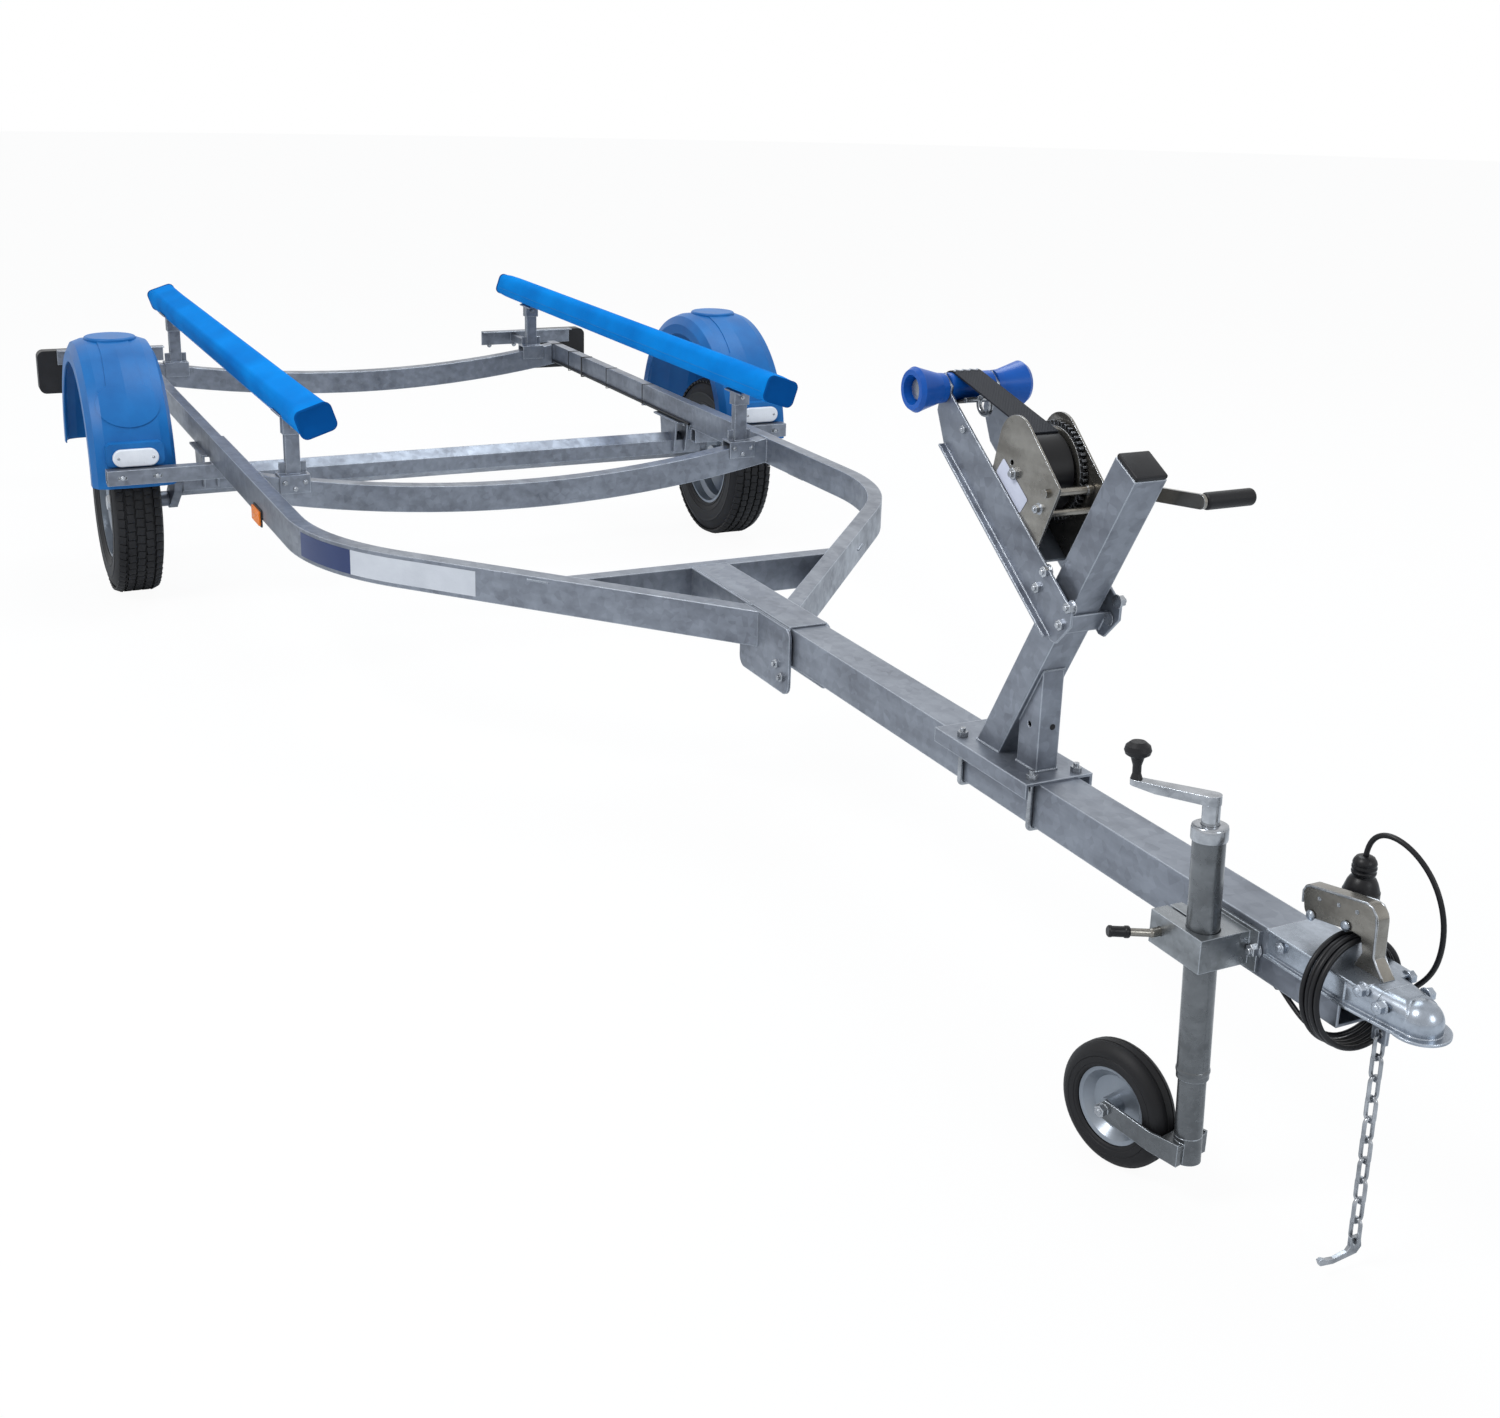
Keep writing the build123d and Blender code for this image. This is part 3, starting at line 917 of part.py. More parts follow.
# Plug parked on a holder at the side of the coupling.
PLUG_X = 4160.0
PLUG_Y = 58.0
PLUG_Z = 592.0
holder = Pos(PLUG_X, PLUG_Y, PLUG_Z - 12) * Cylinder(24, 10, align=(Align.CENTER, Align.CENTER, Align.MIN))
stalk_y = half_bar + LEDGE + SEAT
stalk = box(PLUG_X - 14, PLUG_X + 14, stalk_y, stalk_y + 4, SHELL_FOOT + 6, PLUG_Z - 2)
save("plug_holder", holder + stalk)
PLUG_TALL = 70.0
plug_points = [(0, 0), (25, 0), (26, 18), (20, 34), (15, 40), (17, 45), (17, 62), (13, PLUG_TALL),
               (0, PLUG_TALL)]
plug_face = make_face(Polyline(*plug_points, close=True))
plug = revolve(Plane.XZ * plug_face, Axis.Z)
plug = Pos(PLUG_X, PLUG_Y, PLUG_Z - 2 + SEAT) * plug
save("plug", plug)

# Coil of spare lead hung round the coupling.
turn_r = LEAD_R + 0.2
coil_face = Pos(0, COIL_R - LEAD_R / 2) * Rectangle(2 * turn_r * (COIL_TURNS - 1), LEAD_R)
for i in range(COIL_TURNS):
    coil_face = coil_face + Pos((i - (COIL_TURNS - 1) / 2) * 2 * turn_r, COIL_R) * Circle(LEAD_R + 0.25)
coil = revolve(Plane.XY * coil_face, Axis.X)
coil = Pos(COIL_X, COIL_Y, COIL_Z) * Rot(0, -COIL_LEAN, 0) * coil
save("lead_coil", coil)

# Free lead from the plug to the coil: up out of the gland, over in one loop and down to the coil's side.
lead_top = PLUG_Z - 2 + SEAT + PLUG_TALL
lead_points = [(PLUG_X, PLUG_Y, lead_top), (PLUG_X + 1, PLUG_Y + 1, lead_top + 24),
               (PLUG_X + 24, PLUG_Y + 8, lead_top + 43), (PLUG_X + 62, PLUG_Y + 18, lead_top + 34),
               (PLUG_X + 97, PLUG_Y + 28, lead_top + 2), (PLUG_X + 118, PLUG_Y + 34, lead_top - 44),
               (PLUG_X + 122, PLUG_Y + 36, lead_top - 94), (PLUG_X + 112, PLUG_Y + 34, lead_top - 138),
               (COIL_X + 24, COIL_Y + COIL_R + 2, COIL_Z - 9)]


def lead(points, r):
    radii = []
    for p, q, s3 in zip(points, points[1:], points[2:]):
        one = Vector(*q) - Vector(*p)
        two = Vector(*s3) - Vector(*q)
        half_turn = math.radians(one.get_angle(two)) / 2
        radii.append(0.45 * min(one.length, two.length) / math.tan(half_turn))
    print("lead radii", [round(x) for x in radii])
    route = FilletPolyline(*points, radius=radii)
    start = Plane(origin=points[0], z_dir=Vector(*points[1]) - Vector(*points[0]))
    piece = sweep(start * Circle(r), route)
    filled = piece.volume / (math.pi * r * r * route.length)
    print("lead length", round(route.length), "volume", round(filled, 4))
    return piece


save("lead", lead(lead_points, LEAD_R))

# Safety chain: long links hanging plumb from an eye in the drawbar's end, with an open hook on the last.


def link(length, width, wire):
    half_w = width / 2 - wire
    half_l = length / 2 - width / 2
    loop = Wire([Line((-half_w, -half_l), (-half_w, half_l)).edge(),
                 ThreePointArc((-half_w, half_l), (0, half_l + half_w), (half_w, half_l)).edge(),
                 Line((half_w, half_l), (half_w, -half_l)).edge(),
                 ThreePointArc((half_w, -half_l), (0, -half_l - half_w), (-half_w, -half_l)).edge()])
    return sweep(Plane(origin=(-half_w, -half_l, 0), z_dir=(0, 1, 0)) * Circle(wire), loop)


link_len = LINK_PITCH + 4 * LINK_WIRE - 2 * SEAT
one_link = Rot(90, 0, 0) * link(link_len, LINK_W, LINK_WIRE)
bend_r = LINK_W / 2 - 2 * LINK_WIRE
lift = bend_r - math.sqrt(bend_r ** 2 - (EYE_T / 2) ** 2)
first_z = EYE_Z - EYE_HOLE + lift + SEAT + 2 * LINK_WIRE - link_len / 2
plumb = Pos(EYE_X, CHAIN_Y, first_z) * Rot(0, -NOSE_DOWN, 0)
links = []
for i in range(LINKS):
    links.append(plumb * Pos(0, 0, -LINK_PITCH * i) * Rot(0, 0, 90 * ((i + 1) % 2)) * one_link)
save("safety_chain", *links)
hook_points = [(-9, 10), (9, 10), (12, -8), (4, -17), (-38, -22), (-62, -19), (-66, -10), (-60, -8),
               (-52, -12),
               (-38, -14), (-14, -10), (-9, -4)]
hook = extrude(Plane.XZ * make_face(Polyline(*hook_points, close=True)), 3, both=True)
hook = hook - across(0, 0, -20, 20, LINK_WIRE + 1.5)
hook_drop = -LINK_PITCH * (LINKS - 1) - link_len / 2 + LINK_WIRE - 1.5 + SEAT
save("chain_hook", plumb * Pos(0, 0, hook_drop) * Rot(0, 0, 90 * ((LINKS + 1) % 2)) * hook)
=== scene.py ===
import bpy
import bmesh
import json
import math
from mathutils import Matrix, Vector


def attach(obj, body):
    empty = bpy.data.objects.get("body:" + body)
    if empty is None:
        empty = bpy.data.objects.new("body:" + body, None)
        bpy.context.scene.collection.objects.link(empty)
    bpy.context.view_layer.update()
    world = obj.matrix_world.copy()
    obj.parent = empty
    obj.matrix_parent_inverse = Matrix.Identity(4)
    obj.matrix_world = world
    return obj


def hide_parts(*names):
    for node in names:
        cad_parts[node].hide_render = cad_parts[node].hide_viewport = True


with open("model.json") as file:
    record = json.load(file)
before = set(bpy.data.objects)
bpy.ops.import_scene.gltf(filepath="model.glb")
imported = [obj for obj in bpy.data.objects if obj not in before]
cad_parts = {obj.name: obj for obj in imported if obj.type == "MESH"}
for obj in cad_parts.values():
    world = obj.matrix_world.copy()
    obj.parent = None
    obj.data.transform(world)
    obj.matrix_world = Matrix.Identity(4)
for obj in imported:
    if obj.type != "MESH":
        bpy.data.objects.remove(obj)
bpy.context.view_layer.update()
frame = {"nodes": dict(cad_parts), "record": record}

# ----------------------------------------------------------------------
# Studio: a plain pale floor under soft lamps, and the camera at standing height off the coupling,
# to the trailer's right. The background is white to the camera and to bright metal.

EYE = (4.5299, -1.7501, 1.5975)
EYE_TURN = 2.6778
EYE_DOWN = -0.2792
EYE_ROLL = 0.0201

look = Vector((math.cos(EYE_DOWN) * math.cos(EYE_TURN), math.cos(EYE_DOWN) * math.sin(EYE_TURN),
               math.sin(EYE_DOWN)))
level = look.cross(Vector((0, 0, 1))).normalized()
upright = level.cross(look)
right = math.cos(EYE_ROLL) * level + math.sin(EYE_ROLL) * upright
over = -math.sin(EYE_ROLL) * level + math.cos(EYE_ROLL) * upright
lens_data = bpy.data.cameras.new("camera")
lens_data.sensor_fit = "HORIZONTAL"
lens_data.sensor_width = 36.0
lens_data.lens = 43.668
lens_data.shift_x = -0.0041
lens_data.shift_y = -0.0725
lens_data.clip_end = 120.0
camera = bpy.data.objects.new("camera", lens_data)
bpy.context.scene.collection.objects.link(camera)
camera.matrix_world = Matrix((
    (right.x, over.x, -look.x, EYE[0]),
    (right.y, over.y, -look.y, EYE[1]),
    (right.z, over.z, -look.z, EYE[2]),
    (0, 0, 0, 1),
))
bpy.context.scene.camera = camera
bpy.context.scene.view_settings.view_transform = "Standard"


def studio_light(name, at, aim, size, watts, tint=(1.0, 1.0, 1.0)):
    data = bpy.data.lights.new(name, "AREA")
    data.shape = "DISK"
    data.size = size
    data.energy = watts
    data.color = tint
    lamp = bpy.data.objects.new(name, data)
    lamp.location = at
    lamp.rotation_euler = (Vector(aim) - Vector(at)).to_track_quat("-Z", "Y").to_euler()
    bpy.context.scene.collection.objects.link(lamp)


studio_light("key_light", (2.0, -4.5, 6.0), (0.3, 0.0, 0.3), 2.6, 250)
studio_light("front_light", (7.5, 1.5, 3.2), (1.0, 0.0, 0.4), 2.4, 70, (0.92, 0.97, 1.0))
studio_light("top_light", (-1.5, 1.5, 6.0), (-0.5, 0.0, 0.3), 4.0, 190, (0.88, 0.95, 1.0))


def node_in(tree, kind, inputs=None, **settings):
    """A new shader node, with its settings and the values on its inputs."""
    node = tree.nodes.new("ShaderNode" + kind)
    for key, value in settings.items():
        setattr(node, key, value)
    for key, value in (inputs or {}).items():
        node.inputs[key].default_value = value
    return node


def wire(tree, *wires):
    """Links an output to an input for each (node, output, node, input)."""
    for source, leaving, target, entering in wires:
        tree.links.new(source.outputs[leaving], target.inputs[entering])


world = bpy.data.worlds.new("studio_world")
bpy.context.scene.world = world
world.use_nodes = True
sky = world.node_tree
sky.nodes.clear()
sky_out = node_in(sky, "OutputWorld")
soft_sky = node_in(sky, "Background", {"Color": (0.82, 0.9, 1.0, 1), "Strength": 0.5})
white_sky = node_in(sky, "Background", {"Color": (1, 1, 1, 1), "Strength": 1.0})
ray_kind = node_in(sky, "LightPath")
seen_or_glossy = node_in(sky, "Math", operation="MAXIMUM")
seen_or_clear = node_in(sky, "Math", operation="MAXIMUM")
sky_mix = node_in(sky, "MixShader")
wire(sky, (ray_kind, "Is Camera Ray", seen_or_glossy, 0), (ray_kind, "Is Glossy Ray", seen_or_glossy, 1),
     (seen_or_glossy, 0, seen_or_clear, 0), (ray_kind, "Is Transmission Ray", seen_or_clear, 1),
     (seen_or_clear, 0, sky_mix, "Fac"), (soft_sky, 0, sky_mix, 1), (white_sky, 0, sky_mix, 2),
     (sky_mix, 0, sky_out, "Surface"))

bpy.ops.object.select_all(action="DESELECT")
bpy.ops.mesh.primitive_circle_add(vertices=64, radius=45, fill_type="NGON", location=(0, 0, -0.0005))
floor = bpy.context.object
floor.name = "studio_floor"
floor_paint = bpy.data.materials.new("studio_floor")
floor_paint.use_nodes = True
tree = floor_paint.node_tree
floor_shader = tree.nodes["Principled BSDF"]
floor_shader.inputs["Base Color"].default_value = (0.9, 0.9, 0.9, 1)
floor_shader.inputs["Roughness"].default_value = 0.9
floor_glow = node_in(tree, "Emission", {"Strength": 1.0})
floor_rays = node_in(tree, "LightPath")
floor_share = node_in(tree, "Math", {1: 0.95}, operation="MULTIPLY")
floor_mix = node_in(tree, "MixShader")
wire(tree, (floor_rays, "Is Camera Ray", floor_share, 0), (floor_share, 0, floor_mix, "Fac"),
     (floor_shader, 0, floor_mix, 1), (floor_glow, 0, floor_mix, 2),
     (floor_mix, 0, tree.nodes["Material Output"], "Surface"))
floor.data.materials.append(floor_paint)

# ----------------------------------------------------------------------
# Electric lead: a round black rubber flex. It leaves the drawbar's underside through a grommet, hangs
# round the coupling in a coil, then climbs over in one free loop to its seven-pin plug.

# The trailer is drawn square to its drawbar, and PARKED tips it nose down on the jockey wheel.
PARKED = (Matrix.Translation((-1.3435, 0, 0.281)) @ Matrix.Rotation(math.radians(1.149), 4, "Y")
          @ Matrix.Translation((0, 0, -0.281)))
LEAD_R = 0.004
COIL_AT = Vector((4.222, 0.0, 0.497))
COIL_R = 0.078
COIL_LEAN = Matrix.Rotation(math.radians(-6), 3, "Y")
COIL_STEPS = 50
STEPS_A_TURN = 12
COIL_START = -60
COIL_WANDER = 0.0012
STRAND_SPACING = 0.00865
PLUG_AT = (4.160, 0.058, 0.5903)
LEAD_OUT = ((4.118, -0.030, 0.4560), (4.140, -0.030, 0.4425), (4.178, -0.029, 0.4245),
            (4.210, -0.010, 0.4170))
LEAD_LOOP = ((4.246, 0.080, 0.4880), (4.272, 0.092, 0.5223), (4.282, 0.094, 0.5663), (4.278, 0.092, 0.6163),
             (4.257, 0.086, 0.6623), (4.222, 0.076, 0.6943), (4.184, 0.066, 0.7033), (4.161, 0.059, 0.6843),
             (4.160, 0.058, 0.6603))


def shader_of(name, metallic=0.0, roughness=0.5):
    """A new material with its Principled shader."""
    paint = bpy.data.materials.new(name)
    paint.use_nodes = True
    shader = paint.node_tree.nodes["Principled BSDF"]
    shader.inputs["Metallic"].default_value = metallic
    shader.inputs["Roughness"].default_value = roughness
    return paint, paint.node_tree, shader


def ramp_node(tree, stops):
    """A colour ramp through (place, colour) stops."""
    node = node_in(tree, "ValToRGB")
    while len(node.color_ramp.elements) < len(stops):
        node.color_ramp.elements.new(0.5)
    for element, (place, colour) in zip(node.color_ramp.elements, stops):
        element.position = place
        element.color = (*colour, 1)
    return node


def plain_finish(name, dark, bright, grain_scale, bump, roughness, spread=0.1, shine=0.25):
    """A moulded plastic or rubber with a fine grain and faint clouding."""
    paint, tree, shader = shader_of(name, 0.0, roughness)
    shader.inputs["Specular IOR Level"].default_value = shine
    place = node_in(tree, "TexCoord")
    cloud = node_in(tree, "TexNoise", {"Scale": 9.0, "Detail": 5.0})
    grain = node_in(tree, "TexNoise", {"Scale": grain_scale, "Detail": 2.0})
    colour = ramp_node(tree, ((0.3, dark), (0.7, bright)))
    rough = node_in(tree, "MapRange", {"To Min": roughness - spread, "To Max": roughness + spread})
    relief = node_in(tree, "Bump", {"Strength": bump, "Distance": 0.0005})
    wire(tree, (place, "Object", cloud, "Vector"), (place, "Object", grain, "Vector"),
         (cloud, "Fac", colour, "Fac"), (colour, 0, shader, "Base Color"),
         (cloud, "Fac", rough, "Value"), (rough, "Result", shader, "Roughness"),
         (grain, "Fac", relief, "Height"), (relief, "Normal", shader, "Normal"))
    return paint


def coat(paint, *node_names):
    """Gives CAD nodes this finish."""
    for node_name in node_names:
        piece = frame["nodes"][node_name]
        piece.data.materials.clear()
        piece.data.materials.append(paint)


def select_only(*pieces):
    """Leaves edit mode and selects these pieces and no others, the first of them active."""
    if bpy.context.object and bpy.context.object.mode == "EDIT":
        bpy.ops.object.mode_set(mode="OBJECT")
    bpy.ops.object.select_all(action="DESELECT")
    for piece in pieces:
        piece.select_set(True)
    if pieces:
        bpy.context.view_layer.objects.active = pieces[0]


def add(primitive, name, **sizes):
    """A new primitive with nothing else selected, left in edit mode with all of it selected."""
    select_only()
    primitive(**sizes)
    piece = bpy.context.object
    piece.name = name
    bpy.ops.object.mode_set(mode="EDIT")
    bpy.ops.mesh.select_mode(type="VERT")
    bpy.ops.mesh.select_all(action="SELECT")
    return piece


def chain_of_points(name, points):
    """One point, extruded from place to place in edit mode."""
    piece = add(bpy.ops.mesh.primitive_plane_add, name, size=0.01)
    bpy.ops.mesh.merge(type="CENTER")
    bpy.ops.transform.translate(value=points[0])
    for one, two in zip(points, points[1:]):
        step = Vector(two) - Vector(one)
        bpy.ops.mesh.extrude_vertices_move(TRANSFORM_OT_translate={"value": step})
    bpy.ops.mesh.select_all(action="SELECT")
    return piece


def spun(name, outline, steps=32):
    """A piece turned about Z from an outline of (radius, height) points."""
    piece = chain_of_points(name, [(radius, 0, height) for radius, height in outline])
    bpy.ops.mesh.spin(steps=steps, angle=math.tau, center=(0, 0, 0), axis=(0, 0, 1))
    bpy.ops.mesh.select_all(action="SELECT")
    bpy.ops.mesh.remove_doubles(threshold=0.00001)
    bpy.ops.mesh.normals_make_consistent(inside=False)
    bpy.ops.object.mode_set(mode="OBJECT")
    return piece


def facing(at, way=(0, 0, 1)):
    """The place of a piece that stands at a point, with its Z turned this way."""
    return Matrix.Translation(at) @ Vector(way).to_track_quat("Z", "Y").to_matrix().to_4x4()


def settle(piece, paint, body="frame", sharp=35, place=PARKED):
    """Puts a finished piece in its place in the parked trailer, and gives it its finish and its body."""
    select_only(piece)
    bpy.ops.object.transform_apply(location=True, rotation=True, scale=True)
    piece.data.transform(place)
    bpy.ops.object.shade_smooth_by_angle(angle=math.radians(sharp))
    piece.data.materials.clear()
    piece.data.materials.append(paint)
    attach(piece, body)
    return piece


black_rubber = plain_finish("black_rubber", (0.004, 0.004, 0.005), (0.011, 0.011, 0.013), 500.0, 0.2, 0.36)
coat(black_rubber, "lead", "lead_coil", "plug")

coil_turns = []
for step in range(COIL_STEPS):
    angle = math.radians(360 / STEPS_A_TURN * step + COIL_START)
    reach = (COIL_R + COIL_WANDER * math.sin(0.27 * step)) / math.cos(math.radians(180 / STEPS_A_TURN))
    along = (step - (COIL_STEPS - 1) / 2) / STEPS_A_TURN * STRAND_SPACING
    coil_turns.append(COIL_AT + COIL_LEAN @ Vector((along, reach * math.cos(angle), reach * math.sin(angle))))
lead_points = [PARKED @ Vector(point) for point in (*LEAD_OUT, *coil_turns, *LEAD_LOOP)]
lead_line = bpy.data.curves.new("flex_lead", "CURVE")
lead_line.dimensions = "3D"
lead_line.bevel_depth = LEAD_R
lead_line.bevel_resolution = 4
lead_line.resolution_u = 6
lead_spline = lead_line.splines.new("NURBS")
lead_spline.points.add(len(lead_points) - 1)
for control, point in zip(lead_spline.points, lead_points):
    control.co = (*point, 1.0)
lead_spline.order_u = 3
lead_spline.use_endpoint_u = True
lead_line.materials.append(black_rubber)
flex_lead = bpy.data.objects.new("flex_lead", lead_line)
bpy.context.scene.collection.objects.link(flex_lead)

# Plug: a turned black body with a collar, a neck and a ridged gland that grips the flex.
plug_outline = ((0.0, 0.0), (0.0235, 0.0), (0.025, 0.0015), (0.0252, 0.006), (0.0262, 0.007),
                (0.0262, 0.0175), (0.0252, 0.0185), (0.0245, 0.022), (0.0215, 0.031), (0.0185, 0.0365),
                (0.0155, 0.0395), (0.0155, 0.0425), (0.0172, 0.044), (0.0176, 0.047), (0.0166, 0.0484),
                (0.0166, 0.0506), (0.0176, 0.052), (0.0176, 0.0545), (0.0166, 0.056), (0.0166, 0.058),
                (0.0172, 0.0595), (0.016, 0.0635), (0.013, 0.068), (0.0085, 0.0703), (0.0042, 0.0703),
                (0.0042, 0.064), (0.0, 0.064))
plug_body = spun("plug_body", plug_outline, 36)
plug_body.matrix_world = facing(PLUG_AT)
settle(plug_body, black_rubber, sharp=40)
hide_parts("plug")
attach(flex_lead, "frame")
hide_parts("lead", "lead_coil")

grommet_outline = ((0.0043, 0.0), (0.0075, 0.0), (0.0078, 0.003), (0.006, 0.0062), (0.0045, 0.0068))
grommet = spun("lead_grommet", grommet_outline, 20)
grommet.matrix_world = facing((4.1160, -0.030, 0.4572), (0.45, 0, -1))
settle(grommet, black_rubber)

# ----------------------------------------------------------------------
# Welded frame: rails, cross members, brace, sleeve, drawbar, carriers and posts of steel tube,
# hot-dip galvanised after welding, so every face has a dull zinc skin with clouds and run marks.

# Zinc skin: crystals, clouds and long run marks, as one shade from 0 to 1 and a height.
zinc_skin = bpy.data.node_groups.new("zinc_skin", "ShaderNodeTree")
for label, value in (("Crystals", 95.0), ("Clouds", 7.0), ("Crystal share", 0.35)):
    socket = zinc_skin.interface.new_socket(label, in_out="INPUT", socket_type="NodeSocketFloat")
    socket.default_value = value
for label in ("Shade", "Roughness", "Height"):
    zinc_skin.interface.new_socket(label, in_out="OUTPUT", socket_type="NodeSocketFloat")
skin_in = zinc_skin.nodes.new("NodeGroupInput")
skin_out = zinc_skin.nodes.new("NodeGroupOutput")
place = node_in(zinc_skin, "TexCoord")
crystals = node_in(zinc_skin, "TexVoronoi")
crystal_shade = node_in(zinc_skin, "SeparateColor")
clouds = node_in(zinc_skin, "TexNoise", {"Detail": 6.0, "Roughness": 0.62})
stretch = node_in(zinc_skin, "Mapping", {"Scale": (5.0, 26.0, 34.0)})
runs = node_in(zinc_skin, "TexNoise", {"Scale": 1.0, "Detail": 5.0})
grit = node_in(zinc_skin, "TexNoise", {"Scale": 420.0, "Detail": 2.0})
cloud_mix = node_in(zinc_skin, "Mix", {"Factor": 0.45})
crystal_mix = node_in(zinc_skin, "Mix")
spread = node_in(zinc_skin, "MapRange", {"From Min": 0.3, "From Max": 0.68})
rough = node_in(zinc_skin, "MapRange", {"To Min": 0.6, "To Max": 0.34})
height = node_in(zinc_skin, "Mix", {"Factor": 0.3})
wire(zinc_skin, (place, "Object", crystals, "Vector"), (place, "Object", clouds, "Vector"),
     (place, "Object", stretch, "Vector"), (place, "Object", grit, "Vector"), (stretch, 0, runs, "Vector"),
     (skin_in, "Crystals", crystals, "Scale"), (skin_in, "Clouds", clouds, "Scale"),
     (crystals, "Color", crystal_shade, "Color"), (clouds, "Fac", cloud_mix, "A"),
     (runs, "Fac", cloud_mix, "B"), (skin_in, "Crystal share", crystal_mix, "Factor"),
     (cloud_mix, "Result", crystal_mix, "A"), (crystal_shade, "Red", crystal_mix, "B"),
     (crystal_mix, "Result", spread, "Value"), (spread, "Result", skin_out, "Shade"),
     (spread, "Result", rough, "Value"), (rough, "Result", skin_out, "Roughness"),
     (grit, "Fac", height, "A"), (spread, "Result", height, "B"), (height, "Result", skin_out, "Height"))


def metal_finish(name, dark, bright, metallic, crystals, clouds, share, bump, rough_low, rough_high, edge):
    """A zinc-coated metal, shaded from dark to bright, with edges softly rounded and a painted highlight that
    lightens its colour along them.
    """
    paint, tree, shader = shader_of(name, metallic)
    skin = node_in(tree, "Group", {"Crystals": crystals, "Clouds": clouds, "Crystal share": share},
                   node_tree=zinc_skin)
    colour = ramp_node(tree, ((0.0, dark), (1.0, bright)))
    rough = node_in(tree, "MapRange", {"From Min": 0.34, "From Max": 0.6, "To Min": rough_low,
                    "To Max": rough_high})
    relief = node_in(tree, "Bump", {"Strength": bump, "Distance": 0.0006})
    rounding = node_in(tree, "Bevel", {"Radius": edge}, samples=4)
    # Painted highlight: near edges, where the rounded normal turns from the face's own, the colour is mixed
    # towards a pale blue-white to stand in for light caught on the edges.
    flat = node_in(tree, "NewGeometry")
    turn = node_in(tree, "VectorMath", operation="DOT_PRODUCT")
    painted_edge_highlight = node_in(tree, "MapRange", {"From Min": 0.995, "From Max": 0.78, "To Max": 0.7})
    edge_highlight_mix = node_in(tree, "Mix", {7: (0.72, 0.78, 0.86, 1)}, data_type="RGBA")
    wire(tree, (rounding, "Normal", relief, "Normal"), (rounding, "Normal", turn, 0),
         (flat, "Normal", turn, 1), (turn, "Value", painted_edge_highlight, "Value"),
         (painted_edge_highlight, "Result", edge_highlight_mix, "Factor"), (skin, "Shade", colour, "Fac"),
         (colour, "Color", edge_highlight_mix, 6), (edge_highlight_mix, 2, shader, "Base Color"),
         (skin, "Roughness", rough, "Value"), (rough, "Result", shader, "Roughness"),
         (skin, "Height", relief, "Height"), (relief, "Normal", shader, "Normal"))
    return paint


galvanised = metal_finish("galvanised", (0.105, 0.115, 0.14), (0.26, 0.285, 0.33), 0.6, 60.0, 5.0, 0.1, 0.2,
                          0.3, 0.46, edge=0.004)
coat(galvanised, "rail_left", "rail_right", "rear_rails", "cross_front", "cross_rear", "cross_brace",
     "clamp_socket", "drawbar", "axle_beam", "axle_brackets", "axle_arms", "mudguard_carriers", "lamp_arms",
     "bunk_posts")

RAIL_OUTER_Y = 0.817
RAIL_OUTER_R = 0.670
BEND_START_X = 1.33785
BEND_ANGLE = 40.4


def apply_modifier(piece, kind, **settings):
    """Adds a modifier, sets it and applies it."""
    select_only(piece)
    modifier = piece.modifiers.new(kind.lower(), kind)
    for key, value in settings.items():
        setattr(modifier, key, value)
    bpy.ops.object.modifier_apply(modifier=modifier.name)


def joined(name, pieces):
    """Several pieces made one."""
    select_only(*pieces)
    if len(pieces) > 1:
        bpy.ops.object.join()
    pieces[0].name = name
    return pieces[0]


def repeated(pattern, name, places):
    """Copies of a pattern piece at each place, joined; the pattern itself goes."""
    select_only()
    twins = []
    for place in places:
        twin = pattern.copy()
        twin.data = pattern.data.copy()
        bpy.context.scene.collection.objects.link(twin)
        twin.matrix_world = place
        twins.append(twin)
    bpy.data.objects.remove(pattern)
    return joined(name, twins)


def hex_bolt(across, washer_r, shank):
    """A bolt head on its washer, pointing along Z: chamfered hexagon, pressed washer, end of the shank."""
    head = add(bpy.ops.mesh.primitive_cylinder_add, "bolt_head", vertices=6, radius=across / math.sqrt(3),
               depth=across * 0.62, location=(0, 0, across * 0.31 + 0.0016))
    pick_faces(head, lambda middle, normal: normal.z > 0.9)
    step_in(across * 0.07, z=across * 0.05)
    washer = spun("washer", ((0.0, 0.0), (washer_r, 0.0), (washer_r, 0.0012), (washer_r - 0.0004, 0.0016),
                             (0.0, 0.0016)), 24)
    thread_r = across * 0.29
    top = across * 0.67 + 0.0016
    end = spun("shank", ((0, top), (thread_r, top), (thread_r, top + shank - 0.0008),
                         (thread_r - 0.0008, top + shank), (0, top + shank)), 16)
    return joined("bolt", [head, washer, end])


def row_of(pattern, name, spots, way=None):
    """Copies of a pattern piece at each spot, all pointing one way, or outwards from the trailer."""
    return repeated(pattern, name, [facing(spot, way or (0, math.copysign(1, spot[1]), 0)) for spot in spots])


def bolt_row(name, size, spots, way=None):
    """A row of bolts of one size: across the flats, washer radius and shank."""
    return row_of(hex_bolt(*size), name, spots, way)


def pick_faces(piece, test):
    """In edit mode, selects the faces whose middle and normal pass the test, and nothing else."""
    bpy.ops.mesh.select_mode(type="FACE")
    bpy.ops.mesh.select_all(action="DESELECT")
    mesh = bmesh.from_edit_mesh(piece.data)
    for face in mesh.faces:
        face.select_set(test(face.calc_center_median(), face.normal))
    bmesh.update_edit_mesh(piece.data)


def pick_edges(piece, test):
    """In edit mode, selects the edges whose span from end to end passes the test, and nothing else."""
    bpy.ops.mesh.select_mode(type="EDGE")
    bpy.ops.mesh.select_all(action="DESELECT")
    mesh = bmesh.from_edit_mesh(piece.data)
    for edge in mesh.edges:
        edge.select_set(test(edge.verts[0].co - edge.verts[1].co))
    bmesh.update_edit_mesh(piece.data)


def step_in(thickness, x=0.0, z=0.0):
    """Insets the picked faces, then moves them."""
    bpy.ops.mesh.inset(thickness=thickness)
    bpy.ops.transform.translate(value=(x, 0, z))


